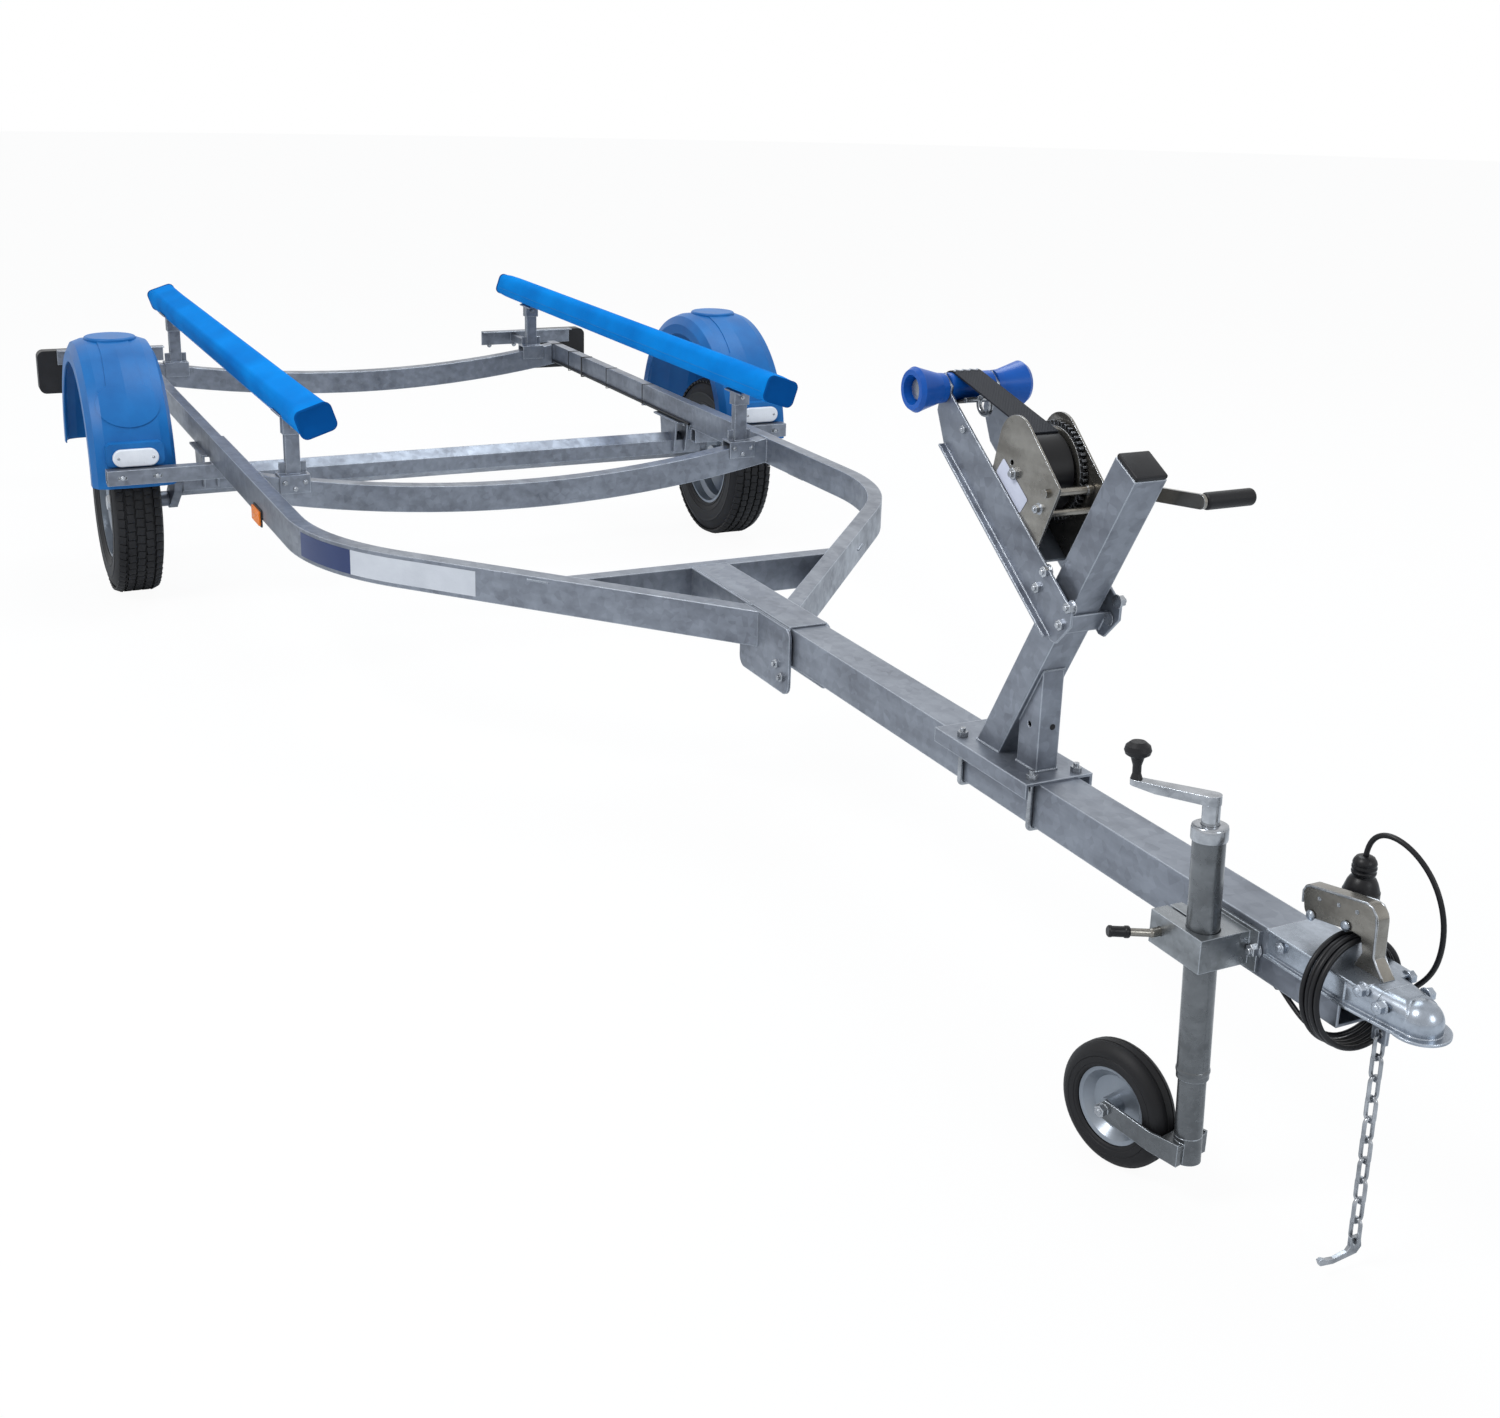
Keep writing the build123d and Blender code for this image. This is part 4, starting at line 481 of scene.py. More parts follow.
def mirrored(spots):
    """The same places on both sides of the trailer."""
    return [(x, side * y, z) for x, y, z in spots for side in (-1, 1)]


# Weld beads: ridges of overlapping puddles, laid where the cross members, the drawbar, the carriers and
# the winch post's feet meet what carries them.
def weld_bead(start, end, radius=0.0035):
    """A bead of puddles from start to end."""
    start, end = Vector(start), Vector(end)
    count = max(4, round((end - start).length / (radius * 1.3)))
    puddle = add(bpy.ops.mesh.primitive_uv_sphere_add, "puddle", segments=8, ring_count=5, radius=radius)
    bpy.ops.transform.resize(value=(1.0, 1.0, 0.55))
    way = (end - start).normalized()
    places = []
    for index in range(count):
        spot = start.lerp(end, index / (count - 1))
        places.append(facing(spot, way + Vector((0.0, 0.0, 0.15 * (-1) ** index))))
    return repeated(puddle, "bead", places)


CROSS_X = (0.870, 0.820)
CROSS_Z = (0.460, 0.536)
BEAD_Y = 0.7765
SEAM_Z = 0.5362
FLUSH_Z = 0.5364
SADDLE_Z = 0.542
PROP_BEADS = (
    # start and end of each, across the winch post's prop and foot
    ((3.4906, -0.021, 0.723), (3.4906, 0.021, 0.723)),
    ((3.4906, -0.021, SADDLE_Z), (3.4906, 0.021, SADDLE_Z)),
    ((3.3205, -0.030, SADDLE_Z), (3.3205, 0.030, SADDLE_Z)),
)
beads = []
for side in (-1, 1):
    y = side * BEAD_Y
    for x in CROSS_X:
        beads.append(weld_bead((x, y, CROSS_Z[0]), (x, y, CROSS_Z[1])))
    beads.append(weld_bead((CROSS_X[1], y, SEAM_Z), (CROSS_X[0], y, SEAM_Z)))
    beads.append(weld_bead((2.122, side * 0.0448, FLUSH_Z), (2.44, side * 0.0448, FLUSH_Z), 0.003))
    beads.append(weld_bead((2.120, side * 0.4015, FLUSH_Z), (2.080, side * 0.4355, FLUSH_Z)))
    beads.append(weld_bead((0.2935, side * 0.8175, 0.4555), (0.3330, side * 0.8175, 0.4555), 0.003))
beads += [weld_bead(start, end, 0.003) for start, end in PROP_BEADS]
for side in (-1, 1):
    for x1, x2, y in ((3.432, 3.490, 0.0215), (3.322, 3.389, 0.0305)):
        beads.append(weld_bead((x1, side * y, SADDLE_Z), (x2, side * y, SADDLE_Z), 0.003))
weld_beads = joined("weld_beads", beads)
settle(weld_beads, galvanised, sharp=60)

# Bolts of the frame: cheeks to drawbar sleeve, mudguards to carriers, axle brackets to rails, and the
# feet and heads of the bunk posts.
bright_zinc = metal_finish("bright_zinc", (0.12, 0.13, 0.145), (0.5, 0.52, 0.55), 0.85, 140.0, 14.0, 0.05,
                           0.05, 0.16, 0.34, edge=0.0012)
coat(bright_zinc, "u_bolts")
CHEEK_BOLTS = ((2.579, 0.0506, 0.448), (2.604, 0.0506, 0.425))
CARRIER_BOLTS = ((0.3334, 0.979, 0.4335), (0.3334, 1.079, 0.4335))
AXLE_BOLTS = ((0.028, 0.797, 0.4537), (0.192, 0.797, 0.4537))
FOOT_BOLTS = ((0.8754, 0.662, 0.512), (0.8754, 0.690, 0.494), (0.8754, 0.718, 0.512))
HEAD_BOLTS = ((0.863, 0.690, 0.668), (-1.062, 0.690, 0.668))
frame_bolts = joined("frame_bolts", [
    bolt_row("cheek_bolts", (0.019, 0.0125, 0.006), mirrored(CHEEK_BOLTS)),
    bolt_row("carrier_bolts", (0.013, 0.0115, 0.004), mirrored(CARRIER_BOLTS), (1, 0, 0)),
    bolt_row("axle_bolts", (0.017, 0.012, 0.005), mirrored(AXLE_BOLTS), (0, 0, -1)),
    bolt_row("foot_bolts", (0.013, 0.009, 0.003), mirrored(FOOT_BOLTS), (1, 0, 0)),
    bolt_row("head_bolts", (0.013, 0.009, 0.003), mirrored(HEAD_BOLTS), (1, 0, 0)),
])
settle(frame_bolts, bright_zinc, sharp=30)

# Rail stripe: a navy block and a long pale strip, self-adhesive film on the right rail's outer face, round
# the bend. It carries no words.
STRIPE_Z = (0.4655, 0.5265)
STRIPE_STAND = 0.0003
NAVY_FROM = 10.0
NAVY_TURN = 18.6
WHITE_FROM = 28.6
WHITE_STRAIGHT = 0.221


def film_on_rail(name, lead_in, turn, straight, paint):
    """A strip of film on the right rail: a start angle round the bend, an angle spun, then a straight run."""
    radius = RAIL_OUTER_R + STRIPE_STAND
    centre = Vector((BEND_START_X, -(RAIL_OUTER_Y - RAIL_OUTER_R), 0))
    film = add(bpy.ops.mesh.primitive_plane_add, name, size=0.01)
    bpy.ops.mesh.merge(type="CENTER")
    first = Vector((centre.x + radius * math.sin(lead_in), centre.y - radius * math.cos(lead_in),
                    STRIPE_Z[0]))
    bpy.ops.transform.translate(value=first)
    bpy.ops.mesh.extrude_vertices_move(TRANSFORM_OT_translate={"value": (0, 0, STRIPE_Z[1] - STRIPE_Z[0])})
    bpy.ops.mesh.select_all(action="SELECT")
    steps = max(2, round(math.degrees(turn) / 1.5))
    bpy.ops.mesh.spin(steps=steps, angle=-turn, center=centre, axis=(0, 0, 1))
    if straight:
        heading = lead_in + turn
        bpy.ops.mesh.extrude_region_move(TRANSFORM_OT_translate={
            "value": (straight * math.cos(heading), straight * math.sin(heading), 0)})
    bpy.ops.mesh.select_all(action="SELECT")
    bpy.ops.mesh.normals_make_consistent(inside=False)
    apply_modifier(film, "SOLIDIFY", thickness=0.0004, offset=0)
    return settle(film, paint, sharp=60)


navy_film = plain_finish("navy_film", (0.02, 0.035, 0.11), (0.028, 0.048, 0.14), 40.0, 0.02, 0.32, 0.04)
white_film = plain_finish("white_film", (0.5, 0.52, 0.56), (0.6, 0.62, 0.66), 40.0, 0.02, 0.3, 0.04)
film_on_rail("rail_film_navy", math.radians(NAVY_FROM), math.radians(NAVY_TURN), 0.0, navy_film)
film_on_rail("rail_film_white", math.radians(WHITE_FROM), math.radians(BEND_ANGLE - WHITE_FROM),
             WHITE_STRAIGHT, white_film)

# Side reflector: a moulded amber lens on a black back, hung on the lower edge of each rail.
amber_lens = plain_finish("amber_lens", (0.75, 0.16, 0.01), (0.9, 0.25, 0.02), 900.0, 0.6, 0.22, 0.05)


def block_of(name, size):
    """A block of this size about the origin, left in edit mode."""
    block = add(bpy.ops.mesh.primitive_cube_add, name, size=1.0)
    bpy.ops.transform.resize(value=size)
    return block


def turned(degrees, axis):
    """A turn about one axis."""
    return Matrix.Rotation(math.radians(degrees), 4, axis)


def rounded_slab(name, size, at, corner, soft):
    """A flat block with round corners and softened edges: size and place in X, Y and Z, face towards Y."""
    slab = block_of(name, size)
    pick_edges(slab, lambda span: abs(span.y) > 0.5 * size[1] and abs(span.x) + abs(span.z) < 0.0001)
    bpy.ops.mesh.bevel(offset=corner, segments=6, affect="EDGES")
    apply_modifier(slab, "BEVEL", width=soft, segments=2, limit_method="ANGLE")
    slab.matrix_world = Matrix.Translation(at)
    return slab


reflector_back = plain_finish("reflector_back", (0.012, 0.012, 0.014), (0.02, 0.02, 0.022), 500.0, 0.2, 0.5)
REFLECTORS = (
    # name, size, distance out, corner radius, softening, finish, slot
    ("reflector_back", (0.104, 0.004, 0.048), 0.8193, 0.006, 0.0008, reflector_back, "black_plastic"),
    ("reflector", (0.096, 0.006, 0.040), 0.8240, 0.005, 0.0015, amber_lens, "red_lens"),
)
for side, hand in ((-1, "right"), (1, "left")):
    for word, size, out, corner, soft, paint, slot in REFLECTORS:
        settle(rounded_slab(f"{word}_{hand}", size, (0.99, side * out, 0.4585), corner, soft), paint)

# Black plug in the drawbar's open rear end.
black_plastic = plain_finish("black_plastic", (0.005, 0.005, 0.006), (0.014, 0.014, 0.016), 700.0, 0.35, 0.45)
bar_plug = rounded_slab("drawbar_plug", (0.0785, 0.004, 0.0785), (0, 0, 0), 0.006, 0.001)
bar_plug.matrix_world = Matrix.Translation((2.1575, 0, 0.496)) @ turned(90, "Z")
settle(bar_plug, black_plastic)

# ----------------------------------------------------------------------
# Bunks: a long board each side, padded and wrapped in blue marine carpet cloth. The cloth is pulled
# tight over the padding, stitched low along both faces, and closed by a flat sewn cap at each end.

BUNK_MIDDLE = (-0.095, 0.684, 0.735)
BUNK_SIZE = (2.450, 0.101, 0.079)
BUNK_ROUND = 0.020
BUNK_TILT = 18.4
CLOTH_LIFT = 0.004
SETTLE_FRAMES = 20
STITCHES = 240
STITCH_STEP = 0.01004
STITCH_Z = -0.5 * BUNK_SIZE[2] + BUNK_ROUND + 0.002


def cloth_finish(name, dark, bright, thread):
    """Woven cloth: crossing threads, a soft nap and a slow change of shade."""
    paint, tree, shader = shader_of(name, 0.0, 0.85)
    place = node_in(tree, "TexCoord")
    warp = node_in(tree, "TexWave", {"Scale": thread, "Distortion": 0.6}, bands_direction="X")
    weft = node_in(tree, "TexWave", {"Scale": thread, "Distortion": 0.6}, bands_direction="Y")
    nap = node_in(tree, "TexNoise", {"Scale": 260.0})
    cloud = node_in(tree, "TexNoise", {"Scale": 5.0, "Detail": 6.0})
    cross = node_in(tree, "Math", operation="MULTIPLY_ADD")
    weave = node_in(tree, "Math", operation="ADD")
    colour = ramp_node(tree, ((0.28, dark), (0.72, bright)))
    relief = node_in(tree, "Bump", {"Strength": 0.35, "Distance": 0.0006})
    for texture in (warp, weft, nap, cloud):
        wire(tree, (place, "Object", texture, "Vector"))
    wire(tree, (warp, "Fac", cross, 0), (weft, "Fac", cross, 1), (nap, "Fac", cross, 2),
         (cross, 0, weave, 0), (cloud, "Fac", weave, 1), (cloud, "Fac", colour, "Fac"),
         (colour, 0, shader, "Base Color"), (weave, 0, relief, "Height"),
         (relief, "Normal", shader, "Normal"))
    shader.inputs["Specular IOR Level"].default_value = 0.06
    return paint


bunk_cloth = cloth_finish("bunk_cloth", (0.0005, 0.17, 0.56), (0.001, 0.25, 0.74), 190.0)
cap_cloth = cloth_finish("cap_cloth", (0.0005, 0.055, 0.22), (0.001, 0.085, 0.32), 190.0)
seam_thread = plain_finish("seam_thread", (0.02, 0.19, 0.45), (0.05, 0.26, 0.55), 400.0, 0.2, 0.7)


def bunk_side_place(side):
    """The bunk's own frame in the trailer: tilted inwards about its length."""
    return (PARKED @ Matrix.Translation((BUNK_MIDDLE[0], side * BUNK_MIDDLE[1], BUNK_MIDDLE[2]))
            @ turned(-side * BUNK_TILT, "X"))


for side, hand in ((1, "left"), (-1, "right")):
    # The board has rounded long edges, and its padding swells a little under the cloth.
    bunk = block_of(f"bunk_pad_{hand}", BUNK_SIZE)
    pick_edges(bunk, lambda span: abs(span.x) > 1.0)
    bpy.ops.mesh.bevel(offset=BUNK_ROUND, segments=5, affect="EDGES")
    apply_modifier(bunk, "REMESH", mode="VOXEL", voxel_size=0.006, use_smooth_shade=True)
    rest = [corner.co.copy() for corner in bunk.data.vertices]
    padding = bunk.modifiers.new("padding", "CLOTH")
    padding.settings.use_pressure = True
    padding.settings.uniform_pressure_force = 4.0
    padding.settings.quality = 5
    padding.settings.mass = 0.3
    padding.settings.tension_stiffness = 40.0
    padding.settings.bending_stiffness = 2.0
    padding.settings.effector_weights.gravity = 0.0
    padding.point_cache.frame_start = 1
    padding.point_cache.frame_end = SETTLE_FRAMES
    for frame_number in range(1, SETTLE_FRAMES + 1):
        bpy.context.scene.frame_set(frame_number)
    bpy.ops.object.modifier_apply(modifier="padding")
    bpy.context.scene.frame_set(1)
    for corner, start in zip(bunk.data.vertices, rest):
        push = corner.co - start
        if push.length > CLOTH_LIFT:
            corner.co = start + push * (CLOTH_LIFT / push.length)
    settle(bunk, bunk_cloth, sharp=60, place=bunk_side_place(side))
    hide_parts(f"bunk_{hand}")

    # A flat sewn cap on each end, its edge bound by a folded strip.
    for end, word in ((1, "front"), (-1, "rear")):
        cap = block_of(f"bunk_cap_{word}_{hand}", (0.004, BUNK_SIZE[1] + 0.002, BUNK_SIZE[2] + 0.002))
        pick_edges(cap, lambda span: abs(span.x) > 0.003)
        bpy.ops.mesh.bevel(offset=BUNK_ROUND, segments=5, affect="EDGES")
        pick_faces(cap, lambda middle, normal: normal.x * end > 0.9)
        step_in(0.004, x=end * 0.0015)
        step_in(0.0015, x=-end * 0.001)
        cap.matrix_world = Matrix.Translation((end * (BUNK_SIZE[0] / 2 + 0.001), 0, 0))
        settle(cap, cap_cloth, sharp=40, place=bunk_side_place(side))

    # Stitches: a row of thread dashes along the seam on the bunk's inner and outer faces.
    dash = block_of("dash", (0.006, 0.0012, 0.0012))
    spots = [Matrix.Translation((-1.2 + STITCH_STEP * number, face * (BUNK_SIZE[1] / 2 + 0.0002), STITCH_Z))
             for face in (1, -1) for number in range(STITCHES)]
    stitches = repeated(dash, f"bunk_stitches_{hand}", spots)
    settle(stitches, seam_thread, place=bunk_side_place(side))

# ----------------------------------------------------------------------
# Wheels: thirteen inch pressed steel rims, painted silver and bolted to the hub with four bolts. The
# road tyres are moulded rubber with five ribs of blocks, fine sidewall rings and no lettering.

TYRE_R = 0.2803
TREAD_BASE_R = 0.2745
WHEEL_CENTRES = ((0.0, 1.0315, 0.281, "left"), (0.0, -1.0315, 0.281, "right"))


def both_sides(half, inner, *crown):
    """A tyre's closed outline, (radius, across): one half, the crown, the half mirrored, the inner point."""
    return (*half, *crown, *((radius, -across) for radius, across in reversed(half)), inner)


TYRE_SECTION = both_sides(
    ((0.1675, -0.0560), (0.1690, -0.0625), (0.1760, -0.0655), (0.1790, -0.0640), (0.1830, -0.0652),
     (0.1850, -0.0672), (0.1935, -0.0692), (0.1950, -0.0712), (0.1985, -0.0718), (0.2000, -0.0708),
     (0.2160, -0.0722), (0.2230, -0.0725), (0.2300, -0.0722), (0.2318, -0.0732), (0.2335, -0.0732),
     (0.2350, -0.0714), (0.2450, -0.0690), (0.2560, -0.0640), (0.2660, -0.0572), (0.2730, -0.0500),
     (TREAD_BASE_R, -0.0450), (TREAD_BASE_R, -0.0200)), (0.1680, 0.0), (TREAD_BASE_R, 0.0))
BLOCKS = 64
BLOCK_ROWS = (
    # name, middle across, width, radial tilt, turn of the first block, outer radius
    ("shoulder_rear", -0.0515, 0.0215, -24.0, 0.0, 0.2775),
    ("rib_rear", -0.0265, 0.0200, 0.0, 0.5, TYRE_R),
    ("rib_middle", 0.0, 0.0215, 0.0, 0.0, TYRE_R),
    ("rib_front", 0.0265, 0.0200, 0.0, 0.5, TYRE_R),
    ("shoulder_front", 0.0515, 0.0215, 24.0, 0.0, 0.2775),
)
BLOCK_GAP = 0.0024
BLOCK_ROOT = 0.004
BLOCK_SKEW = 7
tyre_rubber = plain_finish("tyre_rubber", (0.005, 0.005, 0.006), (0.014, 0.014, 0.016), 420.0, 0.35, 0.55,
                           0.08)


def tread_block(width, length, height):
    """One tread block standing on Z 0, open below, its top raised inside a narrow rim."""
    block = block_of("block", (width, length, height))
    bpy.ops.transform.translate(value=(0, 0, height / 2))
    pick_faces(block, lambda middle, normal: normal.z > 0.9)
    bpy.ops.mesh.inset(thickness=0.0012)
    pick_faces(block, lambda middle, normal: middle.z > height * 0.9 and normal.z > 0.9
               and abs(middle.x) < width / 2 - 0.003 and abs(middle.y) < length / 2 - 0.003)
    bpy.ops.transform.translate(value=(0, 0, 0.0005))
    pick_faces(block, lambda middle, normal: normal.z < -0.9)
    bpy.ops.mesh.delete(type="FACE")
    return block


for x, y, z, hand in WHEEL_CENTRES:
    carcass = spun(f"tyre_carcass_{hand}", TYRE_SECTION, 72)
    pieces = [carcass]
    for row, middle, width, tilt, first, outer in BLOCK_ROWS:
        block = tread_block(width, math.tau * outer / BLOCKS - BLOCK_GAP, outer - TREAD_BASE_R + BLOCK_ROOT)
        stand = (Matrix.Translation((TREAD_BASE_R - BLOCK_ROOT, 0, middle)) @ turned(90, "Y")
                 @ turned(-tilt, "Y") @ turned(BLOCK_SKEW if first else -BLOCK_SKEW, "Z"))
        places = [Matrix.Rotation(math.tau * (number + first) / BLOCKS, 4, "Z") @ stand
                  for number in range(BLOCKS)]
        pieces.append(repeated(block, row, places))
    tyre = joined(f"road_tyre_{hand}", pieces)
    tyre.matrix_world = Matrix.Translation((x, y, z)) @ turned(-90, "X")
    settle(tyre, tyre_rubber, body=f"wheel_{hand}", sharp=34)
    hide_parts(f"tyre_{hand}")

rim_silver = plain_finish("rim_silver", (0.2, 0.225, 0.26), (0.3, 0.33, 0.37), 900.0, 0.15, 0.3, 0.05)
rim_silver.node_tree.nodes["Principled BSDF"].inputs["Metallic"].default_value = 0.55
coat(rim_silver, "rim_left", "rim_right", "jockey_rim")
coat(bright_zinc, "hub_left", "hub_right")
WHEEL_BOLT_R = 0.050
VALVE_OUTLINE = ((0.0, -0.012), (0.0055, -0.012), (0.0055, 0.002), (0.0042, 0.005), (0.0042, 0.022),
                 (0.0048, 0.0225), (0.0048, 0.031), (0.0035, 0.033), (0.0, 0.033))
for x, y, z, hand in WHEEL_CENTRES:
    out = math.copysign(1.0, y)
    bolts = []
    for number in range(4):
        turn = math.radians(45 + 90 * number)
        spot = (x + WHEEL_BOLT_R * math.cos(turn), y + out * 0.0302, z + WHEEL_BOLT_R * math.sin(turn))
        bolts.append(facing(spot, (0, out, 0)))
    wheel_bolts = repeated(hex_bolt(0.017, 0.011, 0.003), f"wheel_bolts_{hand}", bolts)
    settle(wheel_bolts, bright_zinc, body=f"wheel_{hand}", sharp=30)
    valve = spun(f"tyre_valve_{hand}", VALVE_OUTLINE, 16)
    valve.matrix_world = facing((x, y + out * 0.0225, z + 0.142), (0, out * 0.93, -0.36))
    settle(valve, black_rubber, body=f"wheel_{hand}")

# Mudguards: vacuum-formed blue plastic on the two carriers. On the front of each is a small clear marker
# lamp held by two screws.
guard_plastic = plain_finish("guard_plastic", (0.004, 0.105, 0.33), (0.008, 0.15, 0.43), 260.0, 0.3, 0.4,
                             0.06)
coat(guard_plastic, "mudguard_left", "mudguard_right")
white_lens = plain_finish("white_lens", (0.72, 0.73, 0.76), (0.82, 0.83, 0.86), 50.0, 0.1, 0.2, 0.05)
coat(white_lens, "marker_lamps")
MARKER_AT = (0.3105, 1.034, 0.487)
MARKER_SCREWS = ((0.3108, 0.984, 0.487), (0.3108, 1.084, 0.487))
MARKER_RIBS = 9
RIB_SPACING = 0.0075
marker_trim = []
for side in (-1, 1):
    for number in range(MARKER_RIBS):
        rib = block_of("rib", (0.0022, 0.0020, 0.034))
        bpy.ops.mesh.bevel(offset=0.0007, segments=2)
        across = MARKER_AT[1] + RIB_SPACING * (number - MARKER_RIBS // 2)
        rib.matrix_world = Matrix.Translation((MARKER_AT[0], side * across, MARKER_AT[2]))
        marker_trim.append(rib)
marker_ribs = joined("marker_ribs", marker_trim)
settle(marker_ribs, white_lens)


def round_screw(radius):
    """A pan head with a dimple in its middle, pointing along Z."""
    shares = ((0.0, 0.0), (1.0, 0.0), (0.96, 0.25), (0.7, 0.5), (0.3, 0.58), (0.18, 0.3), (0.0, 0.26))
    return spun("screw", [(radius * out, radius * up) for out, up in shares], 16)


marker_screws = row_of(round_screw(0.0042), "marker_screws", mirrored(MARKER_SCREWS), (1, 0, 0))
settle(marker_screws, bright_zinc, sharp=45)

# ----------------------------------------------------------------------
# Winch and bow roller: a leaning post carries a bent sheet steel bracket, and a geared hand winch with a
# black drum is bolted on it. The strap winds off the drum over the blue bow roller.

BRACKET_TOP = (3.184, 1.151)
BRACKET_DOWN = math.radians(35.5)
WINCH_AXLE = (3.402, 1.045)
coat(galvanised, "winch_saddle", "winch_post", "winch_bracket")
winch_zinc = metal_finish("winch_zinc", (0.13, 0.12, 0.105), (0.32, 0.305, 0.275), 0.85, 120.0, 12.0, 0.05,
                          0.08, 0.18, 0.34, edge=0.0012)
coat(winch_zinc, "winch_frame", "winch_crank", "winch_spindles")
coat(bright_zinc, "strap_hook", "roller_pin")
gear_steel = metal_finish("gear_steel", (0.03, 0.03, 0.032), (0.09, 0.09, 0.095), 0.8, 160.0, 20.0, 0.1, 0.1,
                          0.3, 0.45, edge=0.001)
coat(gear_steel, "winch_gear")
roller_plastic = plain_finish("roller_plastic", (0.003, 0.06, 0.3), (0.006, 0.1, 0.44), 300.0, 0.12, 0.3,
                              0.05)
coat(roller_plastic, "bow_roller")
coat(black_plastic, "crank_grip", "post_cap")
drum_plastic = plain_finish("drum_plastic", (0.004, 0.004, 0.005), (0.01, 0.01, 0.012), 500.0, 0.15, 0.32,
                            0.06)
coat(drum_plastic, "winch_spool")


def on_bracket(along, off, y):
    """A place on the bracket: metres along it from its upper rear end, and off its centre line upwards."""
    return (BRACKET_TOP[0] + along * math.cos(BRACKET_DOWN) + off * math.sin(BRACKET_DOWN), y,
            BRACKET_TOP[1] - along * math.sin(BRACKET_DOWN) + off * math.cos(BRACKET_DOWN))


# Strap: black polyester webbing with a woven rib.
def webbing(name, dark, bright):
    """Ribbed webbing."""
    paint, tree, shader = shader_of(name, 0.0, 0.62)
    shader.inputs["Specular IOR Level"].default_value = 0.12
    place = node_in(tree, "TexCoord")
    ribs = node_in(tree, "TexWave", {"Scale": 150.0}, bands_direction="Y")
    cross = node_in(tree, "TexWave", {"Scale": 110.0}, bands_direction="DIAGONAL")
    both_ways = node_in(tree, "Math", operation="ADD")
    colour = ramp_node(tree, ((0.0, dark), (1.0, bright)))
    relief = node_in(tree, "Bump", {"Strength": 0.5, "Distance": 0.0006})
    wire(tree, (place, "Object", ribs, "Vector"), (place, "Object", cross, "Vector"),
         (ribs, "Fac", both_ways, 0), (cross, "Fac", both_ways, 1), (ribs, "Fac", colour, "Fac"),
         (colour, 0, shader, "Base Color"), (both_ways, 0, relief, "Height"),
         (relief, "Normal", shader, "Normal"))
    return paint


strap_web = webbing("strap_web", (0.008, 0.009, 0.012), (0.026, 0.028, 0.035))
coat(strap_web, "winch_strap")

# Bolts of the post and winch: bracket clamp, roller cheeks, side plate and the drum's axle nut.
PLATE_Y = 0.0503
CLAMP_BOLTS = ((3.513, PLATE_Y, 0.906), (3.495, PLATE_Y, 0.874), (3.584, PLATE_Y, 0.865),
               (3.566, PLATE_Y, 0.831))
SMALL_BOLTS = ((3.247, -PLATE_Y, 1.089), (3.475, -PLATE_Y, 1.002))
winch_bolts = joined("winch_bolts", [
    bolt_row("clamp_bolts", (0.017, 0.012, 0.004), mirrored(CLAMP_BOLTS)),
    bolt_row("plate_bolts", (0.013, 0.010, 0.003), SMALL_BOLTS),
    bolt_row("axle_nut", (0.019, 0.013, 0.005), [(WINCH_AXLE[0], -0.0465, WINCH_AXLE[1])]),
])
settle(winch_bolts, bright_zinc, sharp=30)

# Blank rating label on the winch's near side plate.
blank_label = plain_finish("blank_label", (0.5, 0.52, 0.62), (0.62, 0.64, 0.74), 120.0, 0.05, 0.35, 0.05)
bracket_turn = Matrix.Rotation(BRACKET_DOWN, 4, "Y")
winch_label = rounded_slab("winch_label", (0.094, 0.0004, 0.034), (0, 0, 0), 0.004, 0.0001)
winch_label.matrix_world = Matrix.Translation(on_bracket(0.246, 0.018, -0.0463)) @ bracket_turn
settle(winch_label, blank_label)

# Gear: a bright machined ring on its dark toothed wheel.
gear_ring = spun("gear_ring", ((0.0585, 0.0), (0.0755, 0.0), (0.0755, 0.0006), (0.0745, 0.001),
                               (0.0595, 0.001), (0.0585, 0.0006), (0.0585, 0.0)), 72)
gear_ring.matrix_world = facing((WINCH_AXLE[0], 0.0309, WINCH_AXLE[1]), (0, -1, 0))
settle(gear_ring, winch_zinc)

# Cap of the post: a moulded black plug with a low domed top, pushed into the leaning tube.
POST_FOOT = (3.352, 0, 0.536)
POST_LEAN = 29
POST_LENGTH = 0.6543
post_plug = block_of("post_plug", (0.0604, 0.0604, 0.009))
bpy.ops.transform.translate(value=(0, 0, 0.0045))
bpy.ops.mesh.bevel(offset=0.0035, segments=4, affect="EDGES")
pick_faces(post_plug, lambda middle, normal: normal.z > 0.99)
step_in(0.006, z=0.0014)
step_in(0.008, z=0.0008)
post_plug.matrix_world = (Matrix.Translation(POST_FOOT) @ turned(POST_LEAN, "Y")
                          @ Matrix.Translation((0, 0, POST_LENGTH)))
settle(post_plug, black_plastic, sharp=50)
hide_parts("post_cap")

# Zigzag of pale stitches in the strap where it leaves the roller, and a dark disc of painted shade standing
# in for the unlit inside of the prop's hole.
stitch = block_of("stitch", (0.0150, 0.0030, 0.0014))
stitch_spots = [Matrix.Translation((3.1735, -0.0285 + 0.0075 * number, 1.1777))
                @ turned(38 if number % 2 else -38, "Z") for number in range(7)]
strap_stitches = repeated(stitch, "strap_stitches", stitch_spots)
stitch_thread = plain_finish("stitch_thread", (0.42, 0.43, 0.46), (0.55, 0.56, 0.6), 600.0, 0.2, 0.7)
settle(strap_stitches, stitch_thread)
# Painted shade: the hole is not cut, and a thin black disc paints the dark inside it.
prop_hole_shade_disc = spun("prop_hole_shade_disc", ((0.0, 0.0), (0.0052, 0.0), (0.0055, 0.0003), (0.0, 0.0004)), 24)
prop_hole_shade_disc.matrix_world = facing((3.4901, 0.006, 0.6195), (1, 0, 0))
settle(prop_hole_shade_disc, black_plastic)

